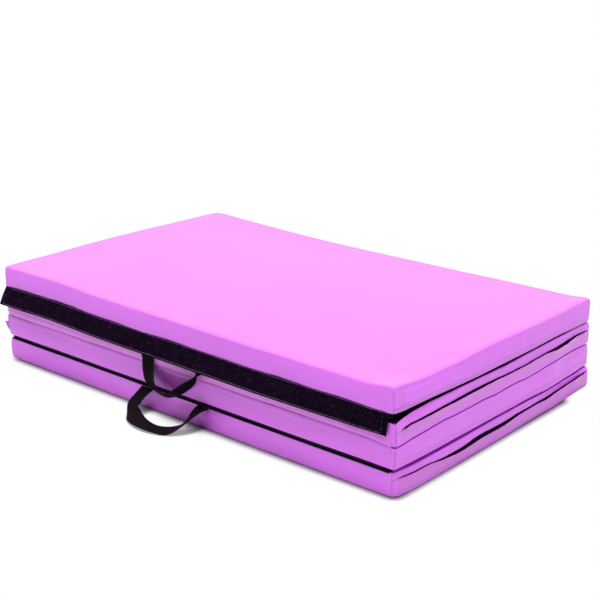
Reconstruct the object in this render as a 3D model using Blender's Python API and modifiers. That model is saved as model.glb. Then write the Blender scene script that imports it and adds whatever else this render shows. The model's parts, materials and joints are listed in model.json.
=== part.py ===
"""Folding gymnastics mat: four foam panels in vinyl covers, folded up like an accordion.

The mat stands folded. Panel 4 lies on the floor and panel 1 is on top. Folds 3-4 and 1-2 are at
the back, fold 2-3 is at the front. X runs along the folds, Y from the front to the back, Z up.
The origin is the middle of the bottom panel's underside. Each panel is drawn once in its own
frame, with the face that carries the folds and flaps of its free end (its joining face) up.
"""

import math

import bmesh
import bpy
from mathutils import Matrix, Vector

MM = 0.001

# Panels
PANEL_LENGTH = 1.219
PANEL_WIDTH = 0.762
FOAM_THICKNESS = 0.0508
COVER_WALL = 1.0 * MM
COVER_RADIUS = 8.0 * MM
FOAM_CLEARANCE = 0.3 * MM
ROUNDING_STEPS = 3
WELD_DISTANCE = 0.02 * MM
PANEL_THICKNESS = FOAM_THICKNESS + 2 * (COVER_WALL + FOAM_CLEARANCE)

# Folds
FACE_GAP = 0.9 * MM
FOLD_OFFSET = 3.5 * MM
WEDGE_34 = math.radians(0.5)
WEDGE_12 = math.radians(1.55)

# Sewn strips and their running gap to what they are sewn on
SEAM_GAP = 0.3 * MM
HINGE_STRIP_THICKNESS = 1.0 * MM
HINGE_STRIP_HALF_HEIGHT = 14 * MM
HINGE_STRIP_CREASE_HALF = 6 * MM
HINGE_STRIP_CREASE_DEPTH = 1.5 * MM
HINGE_STRIP_END_MARGIN = 10 * MM

# Zip in the right-hand short side of each cover
ZIP_FROM_FACE = 24 * MM
ZIP_OPENING = 9 * MM
ZIP_MARGIN_FRONT = 34 * MM
ZIP_MARGIN_BACK = 14 * MM
ZIP_CLEARANCE = 0.3 * MM
ZIP_TAPE_THICKNESS = 0.9 * MM
ZIP_TEETH_WIDTH = 2.6 * MM
ZIP_TEETH_HEIGHT = 0.6 * MM
SLIDER_LENGTH = 11 * MM
SLIDER_WIDTH = 7 * MM
SLIDER_TOP = 2.6 * MM
SLIDER_SHOULDER = 0.6 * MM
SLIDER_PARKING_GAP = 3 * MM

# Vinyl guard over the zip: sewn on below it, free above it
GUARD_THICKNESS = 1.0 * MM
GUARD_SEWN_DEPTH = 20 * MM
GUARD_FLARE_START = 10 * MM
GUARD_FLARE_END = 3.7 * MM
GUARD_PAST_ZIP = 6 * MM
GUARD_STANDOFF = 3.1 * MM
GUARD_LIP_STANDOFF = 3.9 * MM
GUARD_OVERRUN = 6 * MM

# Black binding at the two free ends
BINDING_THICKNESS = 1.0 * MM
BINDING_START = math.radians(15)
BINDING_ON_FACE = 14 * MM
BINDING_STEPS = 6

# End flaps with their hook-and-loop strips
FASTENER_WIDTH = 50 * MM
FASTENER_THICKNESS = 1.6 * MM
FASTENER_END_MARGIN = 14 * MM
FLAP_HEM = 4 * MM
FLAP_WIDTH = FASTENER_WIDTH + 2 * FLAP_HEM
FLAP_THICKNESS = 1.2 * MM
FLAP_LEFT_MARGIN = 2 * MM
FLAP_RIGHT_MARGIN = 9 * MM
FLAP_1_ROOT = math.radians(50)
FLAP_1_HANG = math.radians(26)
FLAP_4_ROOT = math.radians(75)
FLAP_4_RISE_RUN = 4 * MM
HOOK_STRIP_FROM_TIP = 2 * MM

# Webbing handles
WEBBING_WIDTH = 38 * MM
WEBBING_THICKNESS = 1.8 * MM
WEBBING_CHAMFER = 0.5 * MM
HANDLE_CENTRE = -12 * MM
HANDLE_HALF_SPAN = 90.5 * MM
HANDLE_1_ROOT = math.radians(75)
HANDLE_4_ROOT = math.radians(35)
HANDLE_RINGS = 44

# Routes of the handles, in millimetres: x from the handle's middle, y from the front wall,
# z from the floor, and the direction of the webbing's width. The roots come from the panels.
HANDLE_1_ROUTE = [
    ((-90.4, -3.5, 172), (1, 0, 0)),
    ((-87.5, -4.5, 152), (1, 0, 0.08)),
    ((-83, -4.5, 127), (1, 0, 0.2)),
    ((-76.8, -9.9, 104.9), (0.91, 0.08, 0.41)),
    ((-63.9, -18, 88.8), (0.69, 0.04, 0.72)),
    ((-40.7, -23.9, 73.3), (0.3, -0.42, 0.86)),
    ((-11.5, -29.5, 65.5), (0, -0.7, 0.71)),
    ((19.9, -28.4, 71.7), (-0.1, -0.9, 0.42)),
    ((46.1, -26.4, 89.8), (-0.22, -0.92, 0.32)),
    ((69.9, -25, 109.5), (-0.1, -0.95, 0.3)),
    ((81.5, -19.3, 125), (0.35, -0.93, 0.15)),
    ((86.7, -11.5, 138.5), (0.88, -0.47, 0)),
    ((89.3, -6.5, 154), (0.99, -0.12, 0)),
    ((90.5, -3, 174), (1, 0, 0)),
]
HANDLE_4_ROUTE = [
    ((-91, -25, 40), (1, 0, 0.1)),
    ((-88, -47, 29), (0.95, 0.22, 0.2)),
    ((-79, -62, 17), (0.7, 0.3, 0.6)),
    ((-62, -74.5, 11), (0.3, 0.87, 0.38)),
    ((-39, -83, 8.5), (0.08, 0.98, 0.15)),
    ((-10, -86.5, 7), (-0.05, 1, 0)),
    ((18, -83.5, 5.5), (-0.28, 0.96, 0)),
    ((48.3, -73, 6), (-0.45, 0.88, 0.12)),
    ((72, -58, 18), (-0.52, 0.85, -0.09)),
    ((85, -42, 35), (-0.78, 0.57, -0.25)),
    ((89.5, -20, 48), (-0.95, 0.2, -0.2)),
]

COLOURS = {
    "cover_vinyl": ((0.62, 0.16, 0.80, 1), 0.45),
    "foam": ((0.82, 0.82, 0.80, 1), 0.9),
    "black_vinyl": ((0.012, 0.008, 0.014, 1), 0.6),
    "fastener": ((0.016, 0.010, 0.018, 1), 0.95),
    "webbing": ((0.014, 0.009, 0.015, 1), 0.85),
    "zip_tape": ((0.10, 0.02, 0.14, 1), 0.8),
    "zip_slider": ((0.30, 0.30, 0.32, 1), 0.35),
}

for old in list(bpy.data.objects):
    bpy.data.objects.remove(old)

mat_parts = bpy.data.collections.new("folding_gymnastics_mat")
cutters = bpy.data.collections.new("cutters")
bpy.context.scene.collection.children.link(mat_parts)
bpy.context.scene.collection.children.link(cutters)


def make_materials():
    """One Principled material for each finish."""
    made = {}
    for name, (colour, roughness) in COLOURS.items():
        material = bpy.data.materials.new(name)
        material.use_nodes = True
        shader = material.node_tree.nodes["Principled BSDF"]
        shader.inputs["Base Color"].default_value = colour
        shader.inputs["Roughness"].default_value = roughness
        made[name] = material
    return made


MATERIALS = make_materials()


def turn_about(point, angle):
    """A turn about the line through point along X."""
    there = Matrix.Translation(point)
    return there @ Matrix.Rotation(angle, 4, "X") @ there.inverted()


# The hinge lines in the flat stack, before the wedge angles open it at the front
BACK = PANEL_WIDTH / 2 + FOLD_OFFSET
PITCH = PANEL_THICKNESS + FACE_GAP
FOLD_34 = Vector((0, BACK, PANEL_THICKNESS + FACE_GAP / 2))
FOLD_23 = Vector((0, -BACK, PITCH + PANEL_THICKNESS + FACE_GAP / 2))
FOLD_12 = Vector((0, BACK, 2 * PITCH + PANEL_THICKNESS + FACE_GAP / 2))

# Where each panel's share of the stack has turned to at rest
LEAN_34 = turn_about(FOLD_34, -WEDGE_34)
LEAN_12 = LEAN_34 @ turn_about(FOLD_12, -WEDGE_12)
LEAN = {4: Matrix.Identity(4), 3: LEAN_34, 2: LEAN_34, 1: LEAN_12}


def panel_frame(number):
    """The panel's own frame in the world: panels 1 and 3 lie with the joining face down."""
    level = (4 - number) * PITCH
    if number % 2 == 0:
        return LEAN[number] @ Matrix.Translation((0, 0, level))
    flipped = Matrix.Rotation(math.pi, 4, "X")
    return LEAN[number] @ Matrix.Translation((0, 0, level + PANEL_THICKNESS)) @ flipped


def make_axis(name, lean, point, parent=None):
    """An empty on a joint's axis; what moves with the joint is parented to it."""
    empty = bpy.data.objects.new(name, None)
    empty.empty_display_size = 0.05
    mat_parts.objects.link(empty)
    empty.parent = parent
    if parent is not None:
        empty.matrix_parent_inverse = parent.matrix_world.inverted()
    empty.matrix_basis = lean @ Matrix.Translation(point)
    bpy.context.view_layer.update()
    return empty


def place(obj, axis, frame, material=None, collection=mat_parts):
    """Puts an object into its collection, its panel's frame and its axis's family."""
    collection.objects.link(obj)
    obj.parent = axis
    if axis is not None:
        obj.matrix_parent_inverse = axis.matrix_world.inverted()
    obj.matrix_basis = frame
    if material is not None:
        obj.data.materials.append(MATERIALS[material])
    return obj


def box_mesh(name, low, high):
    """A closed box from its lowest to its highest corner, from a unit cube."""
    low, high = Vector(low), Vector(high)
    shape = bmesh.new()
    bmesh.ops.create_cube(shape, size=1)
    stretch = Matrix.Diagonal((*(high - low), 1))
    bmesh.ops.transform(shape, verts=shape.verts, matrix=Matrix.Translation((low + high) / 2) @ stretch)
    mesh = bpy.data.meshes.new(name)
    shape.to_mesh(mesh)
    shape.free()
    return mesh


def round_edges(obj, radius, steps=ROUNDING_STEPS):
    """Rounds every edge of a box."""
    bevel = obj.modifiers.new("round_edges", "BEVEL")
    bevel.width = radius
    bevel.segments = steps
    bevel.limit_method = "NONE"


def panel_box(name, inset):
    """A panel-sized box whose faces lie inset from the cover's outside."""
    half = Vector((PANEL_LENGTH / 2 - inset, PANEL_WIDTH / 2 - inset, 0))
    low = Vector((-half.x, -half.y, inset))
    high = Vector((half.x, half.y, PANEL_THICKNESS - inset))
    obj = bpy.data.objects.new(name, box_mesh(name, low, high))
    round_edges(obj, COVER_RADIUS - inset)
    return obj


def cut(obj, cutter):
    """Takes the cutter's shape out of the object."""
    cutter.hide_render = True
    cutter.display_type = "WIRE"
    boolean = obj.modifiers.new("cut_" + cutter.name, "BOOLEAN")
    boolean.operation = "DIFFERENCE"
    boolean.solver = "EXACT"
    boolean.object = cutter


def sheet_mesh(name, profile, start, end):
    """An open surface: a profile in the YZ plane carried along X from start to end."""
    shape = bmesh.new()
    rows = [[shape.verts.new((x, y, z)) for y, z in profile] for x in (start, end)]
    for index in range(len(profile) - 1):
        near, far = rows
        shape.faces.new((near[index], near[index + 1], far[index + 1], far[index]))
    mesh = bpy.data.meshes.new(name)
    shape.to_mesh(mesh)
    shape.free()
    return mesh


def thicken(obj, thickness):
    """Gives a surface its thickness, half to each side."""
    solidify = obj.modifiers.new("thickness", "SOLIDIFY")
    solidify.thickness = thickness
    solidify.offset = 0
    solidify.use_even_offset = True


def strip(name, profile, start, end, thickness, material, axis, frame):
    """A sewn strip of one thickness whose profile runs along X."""
    obj = bpy.data.objects.new(name, sheet_mesh(name, profile, start, end))
    thicken(obj, thickness)
    return place(obj, axis, frame, material)


# Zip heights and ends in the panel's own frame, with the joining face at the top
ZIP_HEIGHT = PANEL_THICKNESS - ZIP_FROM_FACE
SIDE_WALL = PANEL_LENGTH / 2


def zip_span(flipped):
    """Both ends of the zip's opening along the panel's own Y, the world's front end first."""
    front = -PANEL_WIDTH / 2 + ZIP_MARGIN_FRONT
    back = PANEL_WIDTH / 2 - ZIP_MARGIN_BACK
    return (-front, -back) if flipped else (front, back)


def make_cover(number, axis, frame, flipped):
    """The vinyl cover: a thin shell with the zip's opening in its right-hand short side."""
    cover = panel_box(f"panel_{number}_cover", 0)
    place(cover, axis, frame, "cover_vinyl")
    cavity = panel_box(f"cavity_{number}", COVER_WALL)
    place(cavity, axis, frame, collection=cutters)
    low_y, high_y = sorted(zip_span(flipped))
    half = ZIP_OPENING / 2
    low = (SIDE_WALL - 2 * COVER_WALL, low_y, ZIP_HEIGHT - half)
    high = (SIDE_WALL + COVER_WALL, high_y, ZIP_HEIGHT + half)
    slot = bpy.data.objects.new(f"zip_slot_{number}", box_mesh("zip_slot", low, high))
    place(slot, axis, frame, collection=cutters)
    cut(cover, cavity)
    cut(cover, slot)


def make_foam_core(number, axis, frame):
    """The foam block that fills the cover."""
    core = panel_box(f"panel_{number}_foam_core", COVER_WALL + FOAM_CLEARANCE)
    place(core, axis, frame, "foam")


def prism(name, outline, start, end):
    """A closed outline in the XZ plane carried along Y: a flat curve, filled and extruded."""
    curve = bpy.data.curves.new(name, "CURVE")
    curve.dimensions = "2D"
    curve.fill_mode = "BOTH"
    curve.extrude = abs(end - start) / 2
    spline = curve.splines.new("POLY")
    spline.points.add(len(outline) - 1)
    spline.use_cyclic_u = True
    for point, (x, z) in zip(spline.points, outline):
        point.co = (x, z, 0, 1)
    obj = bpy.data.objects.new(name, curve)
    weld = obj.modifiers.new("weld_caps", "WELD")
    weld.merge_threshold = WELD_DISTANCE
    stand = Matrix.Translation((0, (start + end) / 2, 0)) @ Matrix.Rotation(math.pi / 2, 4, "X")
    return obj, stand


def make_zip_tape(number, axis, frame, flipped):
    """The closed zip: its tape in the opening, with the row of teeth along the middle."""
    start, end = sorted(zip_span(flipped))
    half = ZIP_OPENING / 2 - ZIP_CLEARANCE
    tooth = ZIP_TEETH_WIDTH / 2
    outer = SIDE_WALL
    inner = outer - ZIP_TAPE_THICKNESS
    crest = outer + ZIP_TEETH_HEIGHT
    outline = [
        (inner, ZIP_HEIGHT - half),
        (outer, ZIP_HEIGHT - half),
        (outer, ZIP_HEIGHT - tooth),
        (crest, ZIP_HEIGHT - tooth),
        (crest, ZIP_HEIGHT + tooth),
        (outer, ZIP_HEIGHT + tooth),
        (outer, ZIP_HEIGHT + half),
        (inner, ZIP_HEIGHT + half),
    ]
    tape, stand = prism(f"panel_{number}_zip_tape", outline, start + ZIP_CLEARANCE, end - ZIP_CLEARANCE)
    place(tape, axis, frame @ stand, "zip_tape")


def make_zip_slider(number, parent_axis, frame, flipped):
    """The slider, parked at the closed end at the back; its channel straddles the teeth."""
    front, back = zip_span(flipped)
    inward = 1 if front > back else -1
    start = back + inward * SLIDER_PARKING_GAP
    end = start + inward * SLIDER_LENGTH
    half = SLIDER_WIDTH / 2
    channel = ZIP_TEETH_WIDTH / 2 + ZIP_CLEARANCE
    foot = SIDE_WALL + ZIP_CLEARANCE
    roof = SIDE_WALL + ZIP_TEETH_HEIGHT + ZIP_CLEARANCE
    top = SIDE_WALL + SLIDER_TOP
    outline = [
        (foot, ZIP_HEIGHT - half),
        (top - SLIDER_SHOULDER, ZIP_HEIGHT - half),
        (top, ZIP_HEIGHT - half + SLIDER_SHOULDER),
        (top, ZIP_HEIGHT + half - SLIDER_SHOULDER),
        (top - SLIDER_SHOULDER, ZIP_HEIGHT + half),
        (foot, ZIP_HEIGHT + half),
        (foot, ZIP_HEIGHT + channel),
        (roof, ZIP_HEIGHT + channel),
        (roof, ZIP_HEIGHT - channel),
        (foot, ZIP_HEIGHT - channel),
    ]
    middle = Vector((SIDE_WALL, (start + end) / 2, ZIP_HEIGHT))
    axis = make_axis(f"zip_{number}_axis", frame, middle, parent_axis)
    slider, stand = prism(f"panel_{number}_zip_slider", outline, start, end)
    place(slider, axis, frame @ stand, "zip_slider")


def make_zip_guard(number, axis, frame, flipped):
    """The vinyl guard: sewn below the zip, standing off over it so that the slider can pass."""
    start, end = sorted(zip_span(flipped))
    sewn = SEAM_GAP + GUARD_THICKNESS / 2
    lifted = GUARD_STANDOFF + GUARD_THICKNESS / 2
    lip = GUARD_LIP_STANDOFF + GUARD_THICKNESS / 2
    profile = [
        (ZIP_HEIGHT - GUARD_SEWN_DEPTH, sewn),
        (ZIP_HEIGHT - GUARD_FLARE_START, sewn),
        (ZIP_HEIGHT - GUARD_FLARE_END, lifted),
        (ZIP_HEIGHT + GUARD_PAST_ZIP, lip),
    ]
    name = f"panel_{number}_zip_guard"
    shape = bmesh.new()
    rows = []
    for y in (start - GUARD_OVERRUN, end + GUARD_OVERRUN):
        rows.append([shape.verts.new((SIDE_WALL + out, y, z)) for z, out in profile])
    for index in range(len(profile) - 1):
        near, far = rows
        shape.faces.new((near[index], near[index + 1], far[index + 1], far[index]))
    mesh = bpy.data.meshes.new(name)
    shape.to_mesh(mesh)
    shape.free()
    guard = bpy.data.objects.new(name, mesh)
    thicken(guard, GUARD_THICKNESS)
    place(guard, axis, frame, "cover_vinyl")


def make_panel(number, axis):
    """One panel: foam core, cover, zip, slider and guard."""
    frame = panel_frame(number)
    flipped = number % 2 == 1
    make_cover(number, axis, frame, flipped)
    make_foam_core(number, axis, frame)
    make_zip_tape(number, axis, frame, flipped)
    make_zip_slider(number, axis, frame, flipped)
    make_zip_guard(number, axis, frame, flipped)


def make_hinge_strip(name, axis, fold, side, lower_lean, upper_lean):
    """The vinyl strip sewn over a fold, from one panel's wall to the next, creased between them.

    side is 1 for a fold at the back and -1 for one at the front.
    """
    out = PANEL_WIDTH / 2 + SEAM_GAP + HINGE_STRIP_THICKNESS / 2
    crease = out - HINGE_STRIP_CREASE_DEPTH
    heights = [
        (-HINGE_STRIP_HALF_HEIGHT, out, lower_lean),
        (-HINGE_STRIP_CREASE_HALF, out, lower_lean),
        (0, crease, lower_lean),
        (HINGE_STRIP_CREASE_HALF, out, upper_lean),
        (HINGE_STRIP_HALF_HEIGHT, out, upper_lean),
    ]
    points = [lean @ Vector((0, side * y, fold.z + rise)) for rise, y, lean in heights]
    end = PANEL_LENGTH / 2 - HINGE_STRIP_END_MARGIN
    profile = [(p.y, p.z) for p in points]
    strip(name, profile, -end, end, HINGE_STRIP_THICKNESS, "cover_vinyl", axis, Matrix.Identity(4))


# The rounded front edge of a free end, in the panel's own frame. On panel 4 the front is at -Y;
# panel 1 is flipped, so that its front is at +Y of its own frame and side is 1.
EDGE_Z = PANEL_THICKNESS - COVER_RADIUS


def edge_point(side, angle, radius):
    """A point round the joining face's front edge: angle 0 is level, 90 degrees is at the face."""
    y = side * (PANEL_WIDTH / 2 - COVER_RADIUS + radius * math.cos(angle))
    return Vector((0, y, EDGE_Z + radius * math.sin(angle)))


def make_binding(name, axis, frame, side):
    """The black binding sewn round the front edge; it carries the flap and the handle."""
    radius = COVER_RADIUS + SEAM_GAP + BINDING_THICKNESS / 2
    step = (math.pi / 2 - BINDING_START) / BINDING_STEPS
    arc = [edge_point(side, BINDING_START + step * i, radius) for i in range(BINDING_STEPS + 1)]
    inner = arc[-1] - Vector((0, side * BINDING_ON_FACE, 0))
    profile = [(p.y, p.z) for p in (*arc, inner)]
    start = -PANEL_LENGTH / 2 + COVER_RADIUS
    strip(name, profile, start, -start, BINDING_THICKNESS, "black_vinyl", axis, frame)


BINDING_OUTSIDE = COVER_RADIUS + SEAM_GAP + BINDING_THICKNESS + SEAM_GAP
FLAP_START = -PANEL_LENGTH / 2 + FLAP_LEFT_MARGIN
FLAP_END = PANEL_LENGTH / 2 - FLAP_RIGHT_MARGIN
FASTENER_OFFSET = (FLAP_THICKNESS + FASTENER_THICKNESS) / 2 + SEAM_GAP


def make_flap_1(parent_axis, frame):
    """The top panel's end flap, hanging outwards, with the loop strip on its outer face."""
    root = edge_point(1, FLAP_1_ROOT, BINDING_OUTSIDE + FLAP_THICKNESS / 2)
    along = Vector((0, math.sin(FLAP_1_HANG), math.cos(FLAP_1_HANG)))
    outward = Vector((0, math.cos(FLAP_1_HANG), -math.sin(FLAP_1_HANG)))
    axis = make_axis("flap_1_axis", frame, root, parent_axis)
    edges = (root, root + along * FLAP_WIDTH)
    profile = [(p.y, p.z) for p in edges]
    strip("end_flap_1", profile, FLAP_START, FLAP_END, FLAP_THICKNESS, "black_vinyl", axis, frame)
    base = root + outward * FASTENER_OFFSET + along * FLAP_HEM
    edges = (base, base + along * FASTENER_WIDTH)
    profile = [(p.y, p.z) for p in edges]
    start = FLAP_START + FASTENER_END_MARGIN
    end = FLAP_END - FASTENER_END_MARGIN
    strip("loop_strip", profile, start, end, FASTENER_THICKNESS, "fastener", axis, frame)


def make_flap_4(axis, frame):
    """The bottom panel's end flap, tucked in over the panel with the hook strip beneath it."""
    root = edge_point(-1, FLAP_4_ROOT, BINDING_OUTSIDE + FLAP_THICKNESS / 2)
    lowest = PANEL_THICKNESS + SEAM_GAP + BINDING_THICKNESS + SEAM_GAP
    hook_height = lowest + FASTENER_THICKNESS / 2
    level = hook_height + FASTENER_OFFSET
    rise = Vector((0, root.y + FLAP_4_RISE_RUN, level))
    rise_length = (rise - root).length
    tip = rise + Vector((0, FLAP_WIDTH - rise_length, 0))
    profile = [(p.y, p.z) for p in (root, rise, tip)]
    strip("end_flap_4", profile, FLAP_START, FLAP_END, FLAP_THICKNESS, "black_vinyl", axis, frame)
    hook_end = tip.y - HOOK_STRIP_FROM_TIP
    profile = [(hook_end - FASTENER_WIDTH, hook_height), (hook_end, hook_height)]
    start = FLAP_START + FASTENER_END_MARGIN
    end = FLAP_END - FASTENER_END_MARGIN
    strip("hook_strip", profile, start, end, FASTENER_THICKNESS, "fastener", axis, frame)


def smooth_route(points, count):
    """Count points evenly spaced in parameter on a Catmull-Rom curve through the given ones."""
    padded = [2 * points[0] - points[1], *points, 2 * points[-1] - points[-2]]
    spans = len(points) - 1
    route = []
    for index in range(count):
        place_on = index * spans / (count - 1)
        span = min(int(place_on), spans - 1)
        t = place_on - span
        a, b, c, d = padded[span : span + 4]
        curve = 2 * b + (c - a) * t + (2 * a - 5 * b + 4 * c - d) * t**2 + (3 * b - a - 3 * c + d) * t**3
        route.append(curve / 2)
    return route


def webbing_section():
    """The webbing's cross-section, as shares along its width and its thickness."""
    w, t, c = WEBBING_WIDTH / 2, WEBBING_THICKNESS / 2, WEBBING_CHAMFER
    corners = [(w, -t + c), (w, t - c), (w - c, t), (-w + c, t)]
    return corners + [(-a, -b) for a, b in corners]


def make_handle(name, axis, centres, widths):
    """A webbing strap lofted along its route, turning with the direction of its width."""
    route = smooth_route(centres, HANDLE_RINGS)
    across = smooth_route([Vector(w).normalized() for w in widths], HANDLE_RINGS)
    section = webbing_section()
    shape = bmesh.new()
    rings = []
    for index, centre in enumerate(route):
        ahead = route[min(index + 1, HANDLE_RINGS - 1)] - route[max(index - 1, 0)]
        along = ahead.normalized()
        width = (across[index] - along * across[index].dot(along)).normalized()
        normal = width.cross(along)
        rings.append([shape.verts.new(centre + width * a + normal * b) for a, b in section])
    for near, far in zip(rings, rings[1:]):
        for i in range(len(section)):
            j = (i + 1) % len(section)
            shape.faces.new((near[i], near[j], far[j], far[i]))
    shape.faces.new(list(reversed(rings[0])))
    shape.faces.new(rings[-1])
    bmesh.ops.recalc_face_normals(shape, faces=shape.faces)
    mesh = bpy.data.meshes.new(name)
    shape.to_mesh(mesh)
    shape.free()
    mesh.shade_smooth()
    obj = bpy.data.objects.new(name, mesh)
    return place(obj, axis, Matrix.Identity(4), "webbing")


def handle_points(route):
    """A route's points in the world."""
    origin = Vector((HANDLE_CENTRE, -PANEL_WIDTH / 2, 0))
    return [origin + Vector(point) * MM for point, _ in route]


def make_handle_from_route(name, joint, route, root_local, frame, parent_axis):
    """A handle from one root on the binding, along its route, to the other root."""
    root = frame @ root_local
    axis = make_axis(joint, Matrix.Identity(4), root, parent_axis)
    left = root + Vector((HANDLE_CENTRE - HANDLE_HALF_SPAN, 0, 0))
    right = root + Vector((HANDLE_CENTRE + HANDLE_HALF_SPAN, 0, 0))
    centres = [left, *handle_points(route), right]
    last = Vector((math.copysign(1, route[-1][1][0]), 0, 0))
    widths = [Vector((1, 0, 0)), *[width for _, width in route], last]
    make_handle(name, axis, centres, widths)


fold_34_axis = make_axis("fold_34_axis", LEAN_34, FOLD_34)
fold_23_axis = make_axis("fold_23_axis", LEAN_34, FOLD_23, fold_34_axis)
fold_12_axis = make_axis("fold_12_axis", LEAN_12, FOLD_12, fold_23_axis)
PANEL_AXES = {4: None, 3: fold_34_axis, 2: fold_23_axis, 1: fold_12_axis}

for panel_number, panel_axis in PANEL_AXES.items():
    make_panel(panel_number, panel_axis)

make_hinge_strip("hinge_strip_34", None, FOLD_34, 1, LEAN[4], LEAN[3])
make_hinge_strip("hinge_strip_23", fold_34_axis, FOLD_23, -1, LEAN[3], LEAN[2])
make_hinge_strip("hinge_strip_12", fold_23_axis, FOLD_12, 1, LEAN[2], LEAN[1])

top_frame = panel_frame(1)
make_binding("end_binding_1", fold_12_axis, top_frame, 1)
make_flap_1(fold_12_axis, top_frame)
bottom_frame = panel_frame(4)
make_binding("end_binding_4", None, bottom_frame, -1)
make_flap_4(None, bottom_frame)

webbing_radius = BINDING_OUTSIDE + WEBBING_THICKNESS / 2
handle_1_root = edge_point(1, HANDLE_1_ROOT, webbing_radius)
handle_4_root = edge_point(-1, HANDLE_4_ROOT, webbing_radius)
make_handle_from_route("handle_1", "handle_1_axis", HANDLE_1_ROUTE, handle_1_root, top_frame, fold_12_axis)
make_handle_from_route("handle_4", "handle_4_axis", HANDLE_4_ROUTE, handle_4_root, bottom_frame, None)
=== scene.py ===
"""Folding gymnastics mat, dressed: vinyl, webbing, zips, fasteners and stitching round the CAD frame.

The mat stands folded: panel 4 is on the floor and panel 1 on top. X runs along the folds towards the
zips, Y from the front to the back, Z up, in metres.
"""

import json
import math

import bpy
import numpy as np
from mathutils import Matrix, Vector


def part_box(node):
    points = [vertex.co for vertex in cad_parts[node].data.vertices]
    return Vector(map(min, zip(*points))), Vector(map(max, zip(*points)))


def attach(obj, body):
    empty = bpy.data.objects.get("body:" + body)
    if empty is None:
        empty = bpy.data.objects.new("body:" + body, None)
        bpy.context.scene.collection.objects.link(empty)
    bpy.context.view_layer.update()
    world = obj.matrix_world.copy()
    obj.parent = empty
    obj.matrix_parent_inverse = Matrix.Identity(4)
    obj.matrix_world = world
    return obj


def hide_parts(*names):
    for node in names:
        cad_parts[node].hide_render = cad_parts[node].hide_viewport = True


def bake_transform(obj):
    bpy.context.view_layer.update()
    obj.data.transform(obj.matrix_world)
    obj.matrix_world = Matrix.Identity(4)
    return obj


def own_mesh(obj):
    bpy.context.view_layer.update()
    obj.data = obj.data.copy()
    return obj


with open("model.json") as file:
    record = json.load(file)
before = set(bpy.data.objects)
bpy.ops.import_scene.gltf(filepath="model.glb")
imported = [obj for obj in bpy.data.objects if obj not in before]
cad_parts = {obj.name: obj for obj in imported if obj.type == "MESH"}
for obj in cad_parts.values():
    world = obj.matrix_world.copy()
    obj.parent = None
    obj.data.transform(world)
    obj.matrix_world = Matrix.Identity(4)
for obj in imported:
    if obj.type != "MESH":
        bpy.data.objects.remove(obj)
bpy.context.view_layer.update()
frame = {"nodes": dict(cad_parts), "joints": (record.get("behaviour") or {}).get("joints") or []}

MM = 0.001

# The foam cores: four blocks of closed-cell polyethylene foam, sawn from a bun, so that their faces
# show cut cells. Each fills its cover, which holds it; only the cover's zip lets it out.
FOAM_CELL = 2.5 * MM
FOAM_DEPTH = 3 * MM
FOAM_PALE = "#E4E2DC"
FOAM_DARK = "#C9C6BE"


def linear(hex_colour):
    """The linear colour of an sRGB hex value."""
    values = [int(hex_colour[i : i + 2], 16) / 255 for i in (1, 3, 5)]
    return (*[v / 12.92 if v <= 0.04045 else ((v + 0.055) / 1.055) ** 2.4 for v in values], 1)


def new_material(name, **constants):
    """A Principled material with the shader's own constants set, its node tree and its shader."""
    material = bpy.data.materials.new(name)
    material.use_nodes = True
    shader = material.node_tree.nodes["Principled BSDF"]
    for socket, value in constants.items():
        shader.inputs[socket.replace("_", " ")].default_value = value
    return material, material.node_tree, shader


def add(tree, kind, inputs=None, **settings):
    """Adds a node with its settings; an input is a value, a hex colour or the socket that feeds it."""
    made = tree.nodes.new("ShaderNode" + kind)
    for name, value in settings.items():
        setattr(made, name, value)
    for socket, value in (inputs or {}).items():
        if isinstance(value, bpy.types.NodeSocket):
            tree.links.new(value, made.inputs[socket])
        else:
            made.inputs[socket].default_value = linear(value) if isinstance(value, str) else value
    return made


def feed(tree, shader, **sockets):
    """Links what varies over the surface to the shader's inputs of those names."""
    for name, socket in sockets.items():
        tree.links.new(socket, shader.inputs[name.replace("_", " ")])


def make_foam():
    """Polyethylene foam, sawn: pale, quite matt, with small round cells cut open."""
    material, tree, shader = new_material("sawn_polyethylene_foam", Roughness=0.9, IOR=1.5)
    place = add(tree, "TexCoord").outputs["Object"]
    cells = add(tree, "TexVoronoi", {"Vector": place, "Scale": 1 / FOAM_CELL})
    shade = add(tree, "Mix", {"Factor": cells.outputs["Distance"], "A": FOAM_DARK, "B": FOAM_PALE},
                data_type="RGBA")
    dents = add(tree, "Bump", {"Height": cells.outputs["Distance"], "Distance": 0.4 * MM, "Strength": 0.6})
    feed(tree, shader, Base_Color=shade.outputs["Result"], Normal=dents.outputs["Normal"])
    return material


foam = make_foam()
PANELS = (1, 2, 3, 4)

# The covers: bags of PVC-coated cloth sewn from a top, a bottom and a boxing strip, pulled tight over
# the foam. The seams run on the faces, just inside the edges; the walls stand out a little.
PANEL_WIDTH = 762 * MM
PANEL_THICKNESS = 53.4 * MM
EDGE_RADIUS = 2.4 * MM
LEAN = {1: math.radians(2.05), 2: math.radians(0.5), 3: math.radians(0.5), 4: 0.0}
JOINING_UP = {1: -1, 2: 1, 3: -1, 4: 1}
HALF_X = (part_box("panel_4_cover")[1].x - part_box("panel_4_cover")[0].x) / 2
HALF_Y = PANEL_WIDTH / 2
HALF_Z = PANEL_THICKNESS / 2
HALF = np.array([HALF_X, HALF_Y, HALF_Z])
EDGE_STEP = 1.1 * MM
EDGE_BORDER = 15.4 * MM
FACE_STEP = 11 * MM
WALL_STEP = 1.2 * MM
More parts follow.
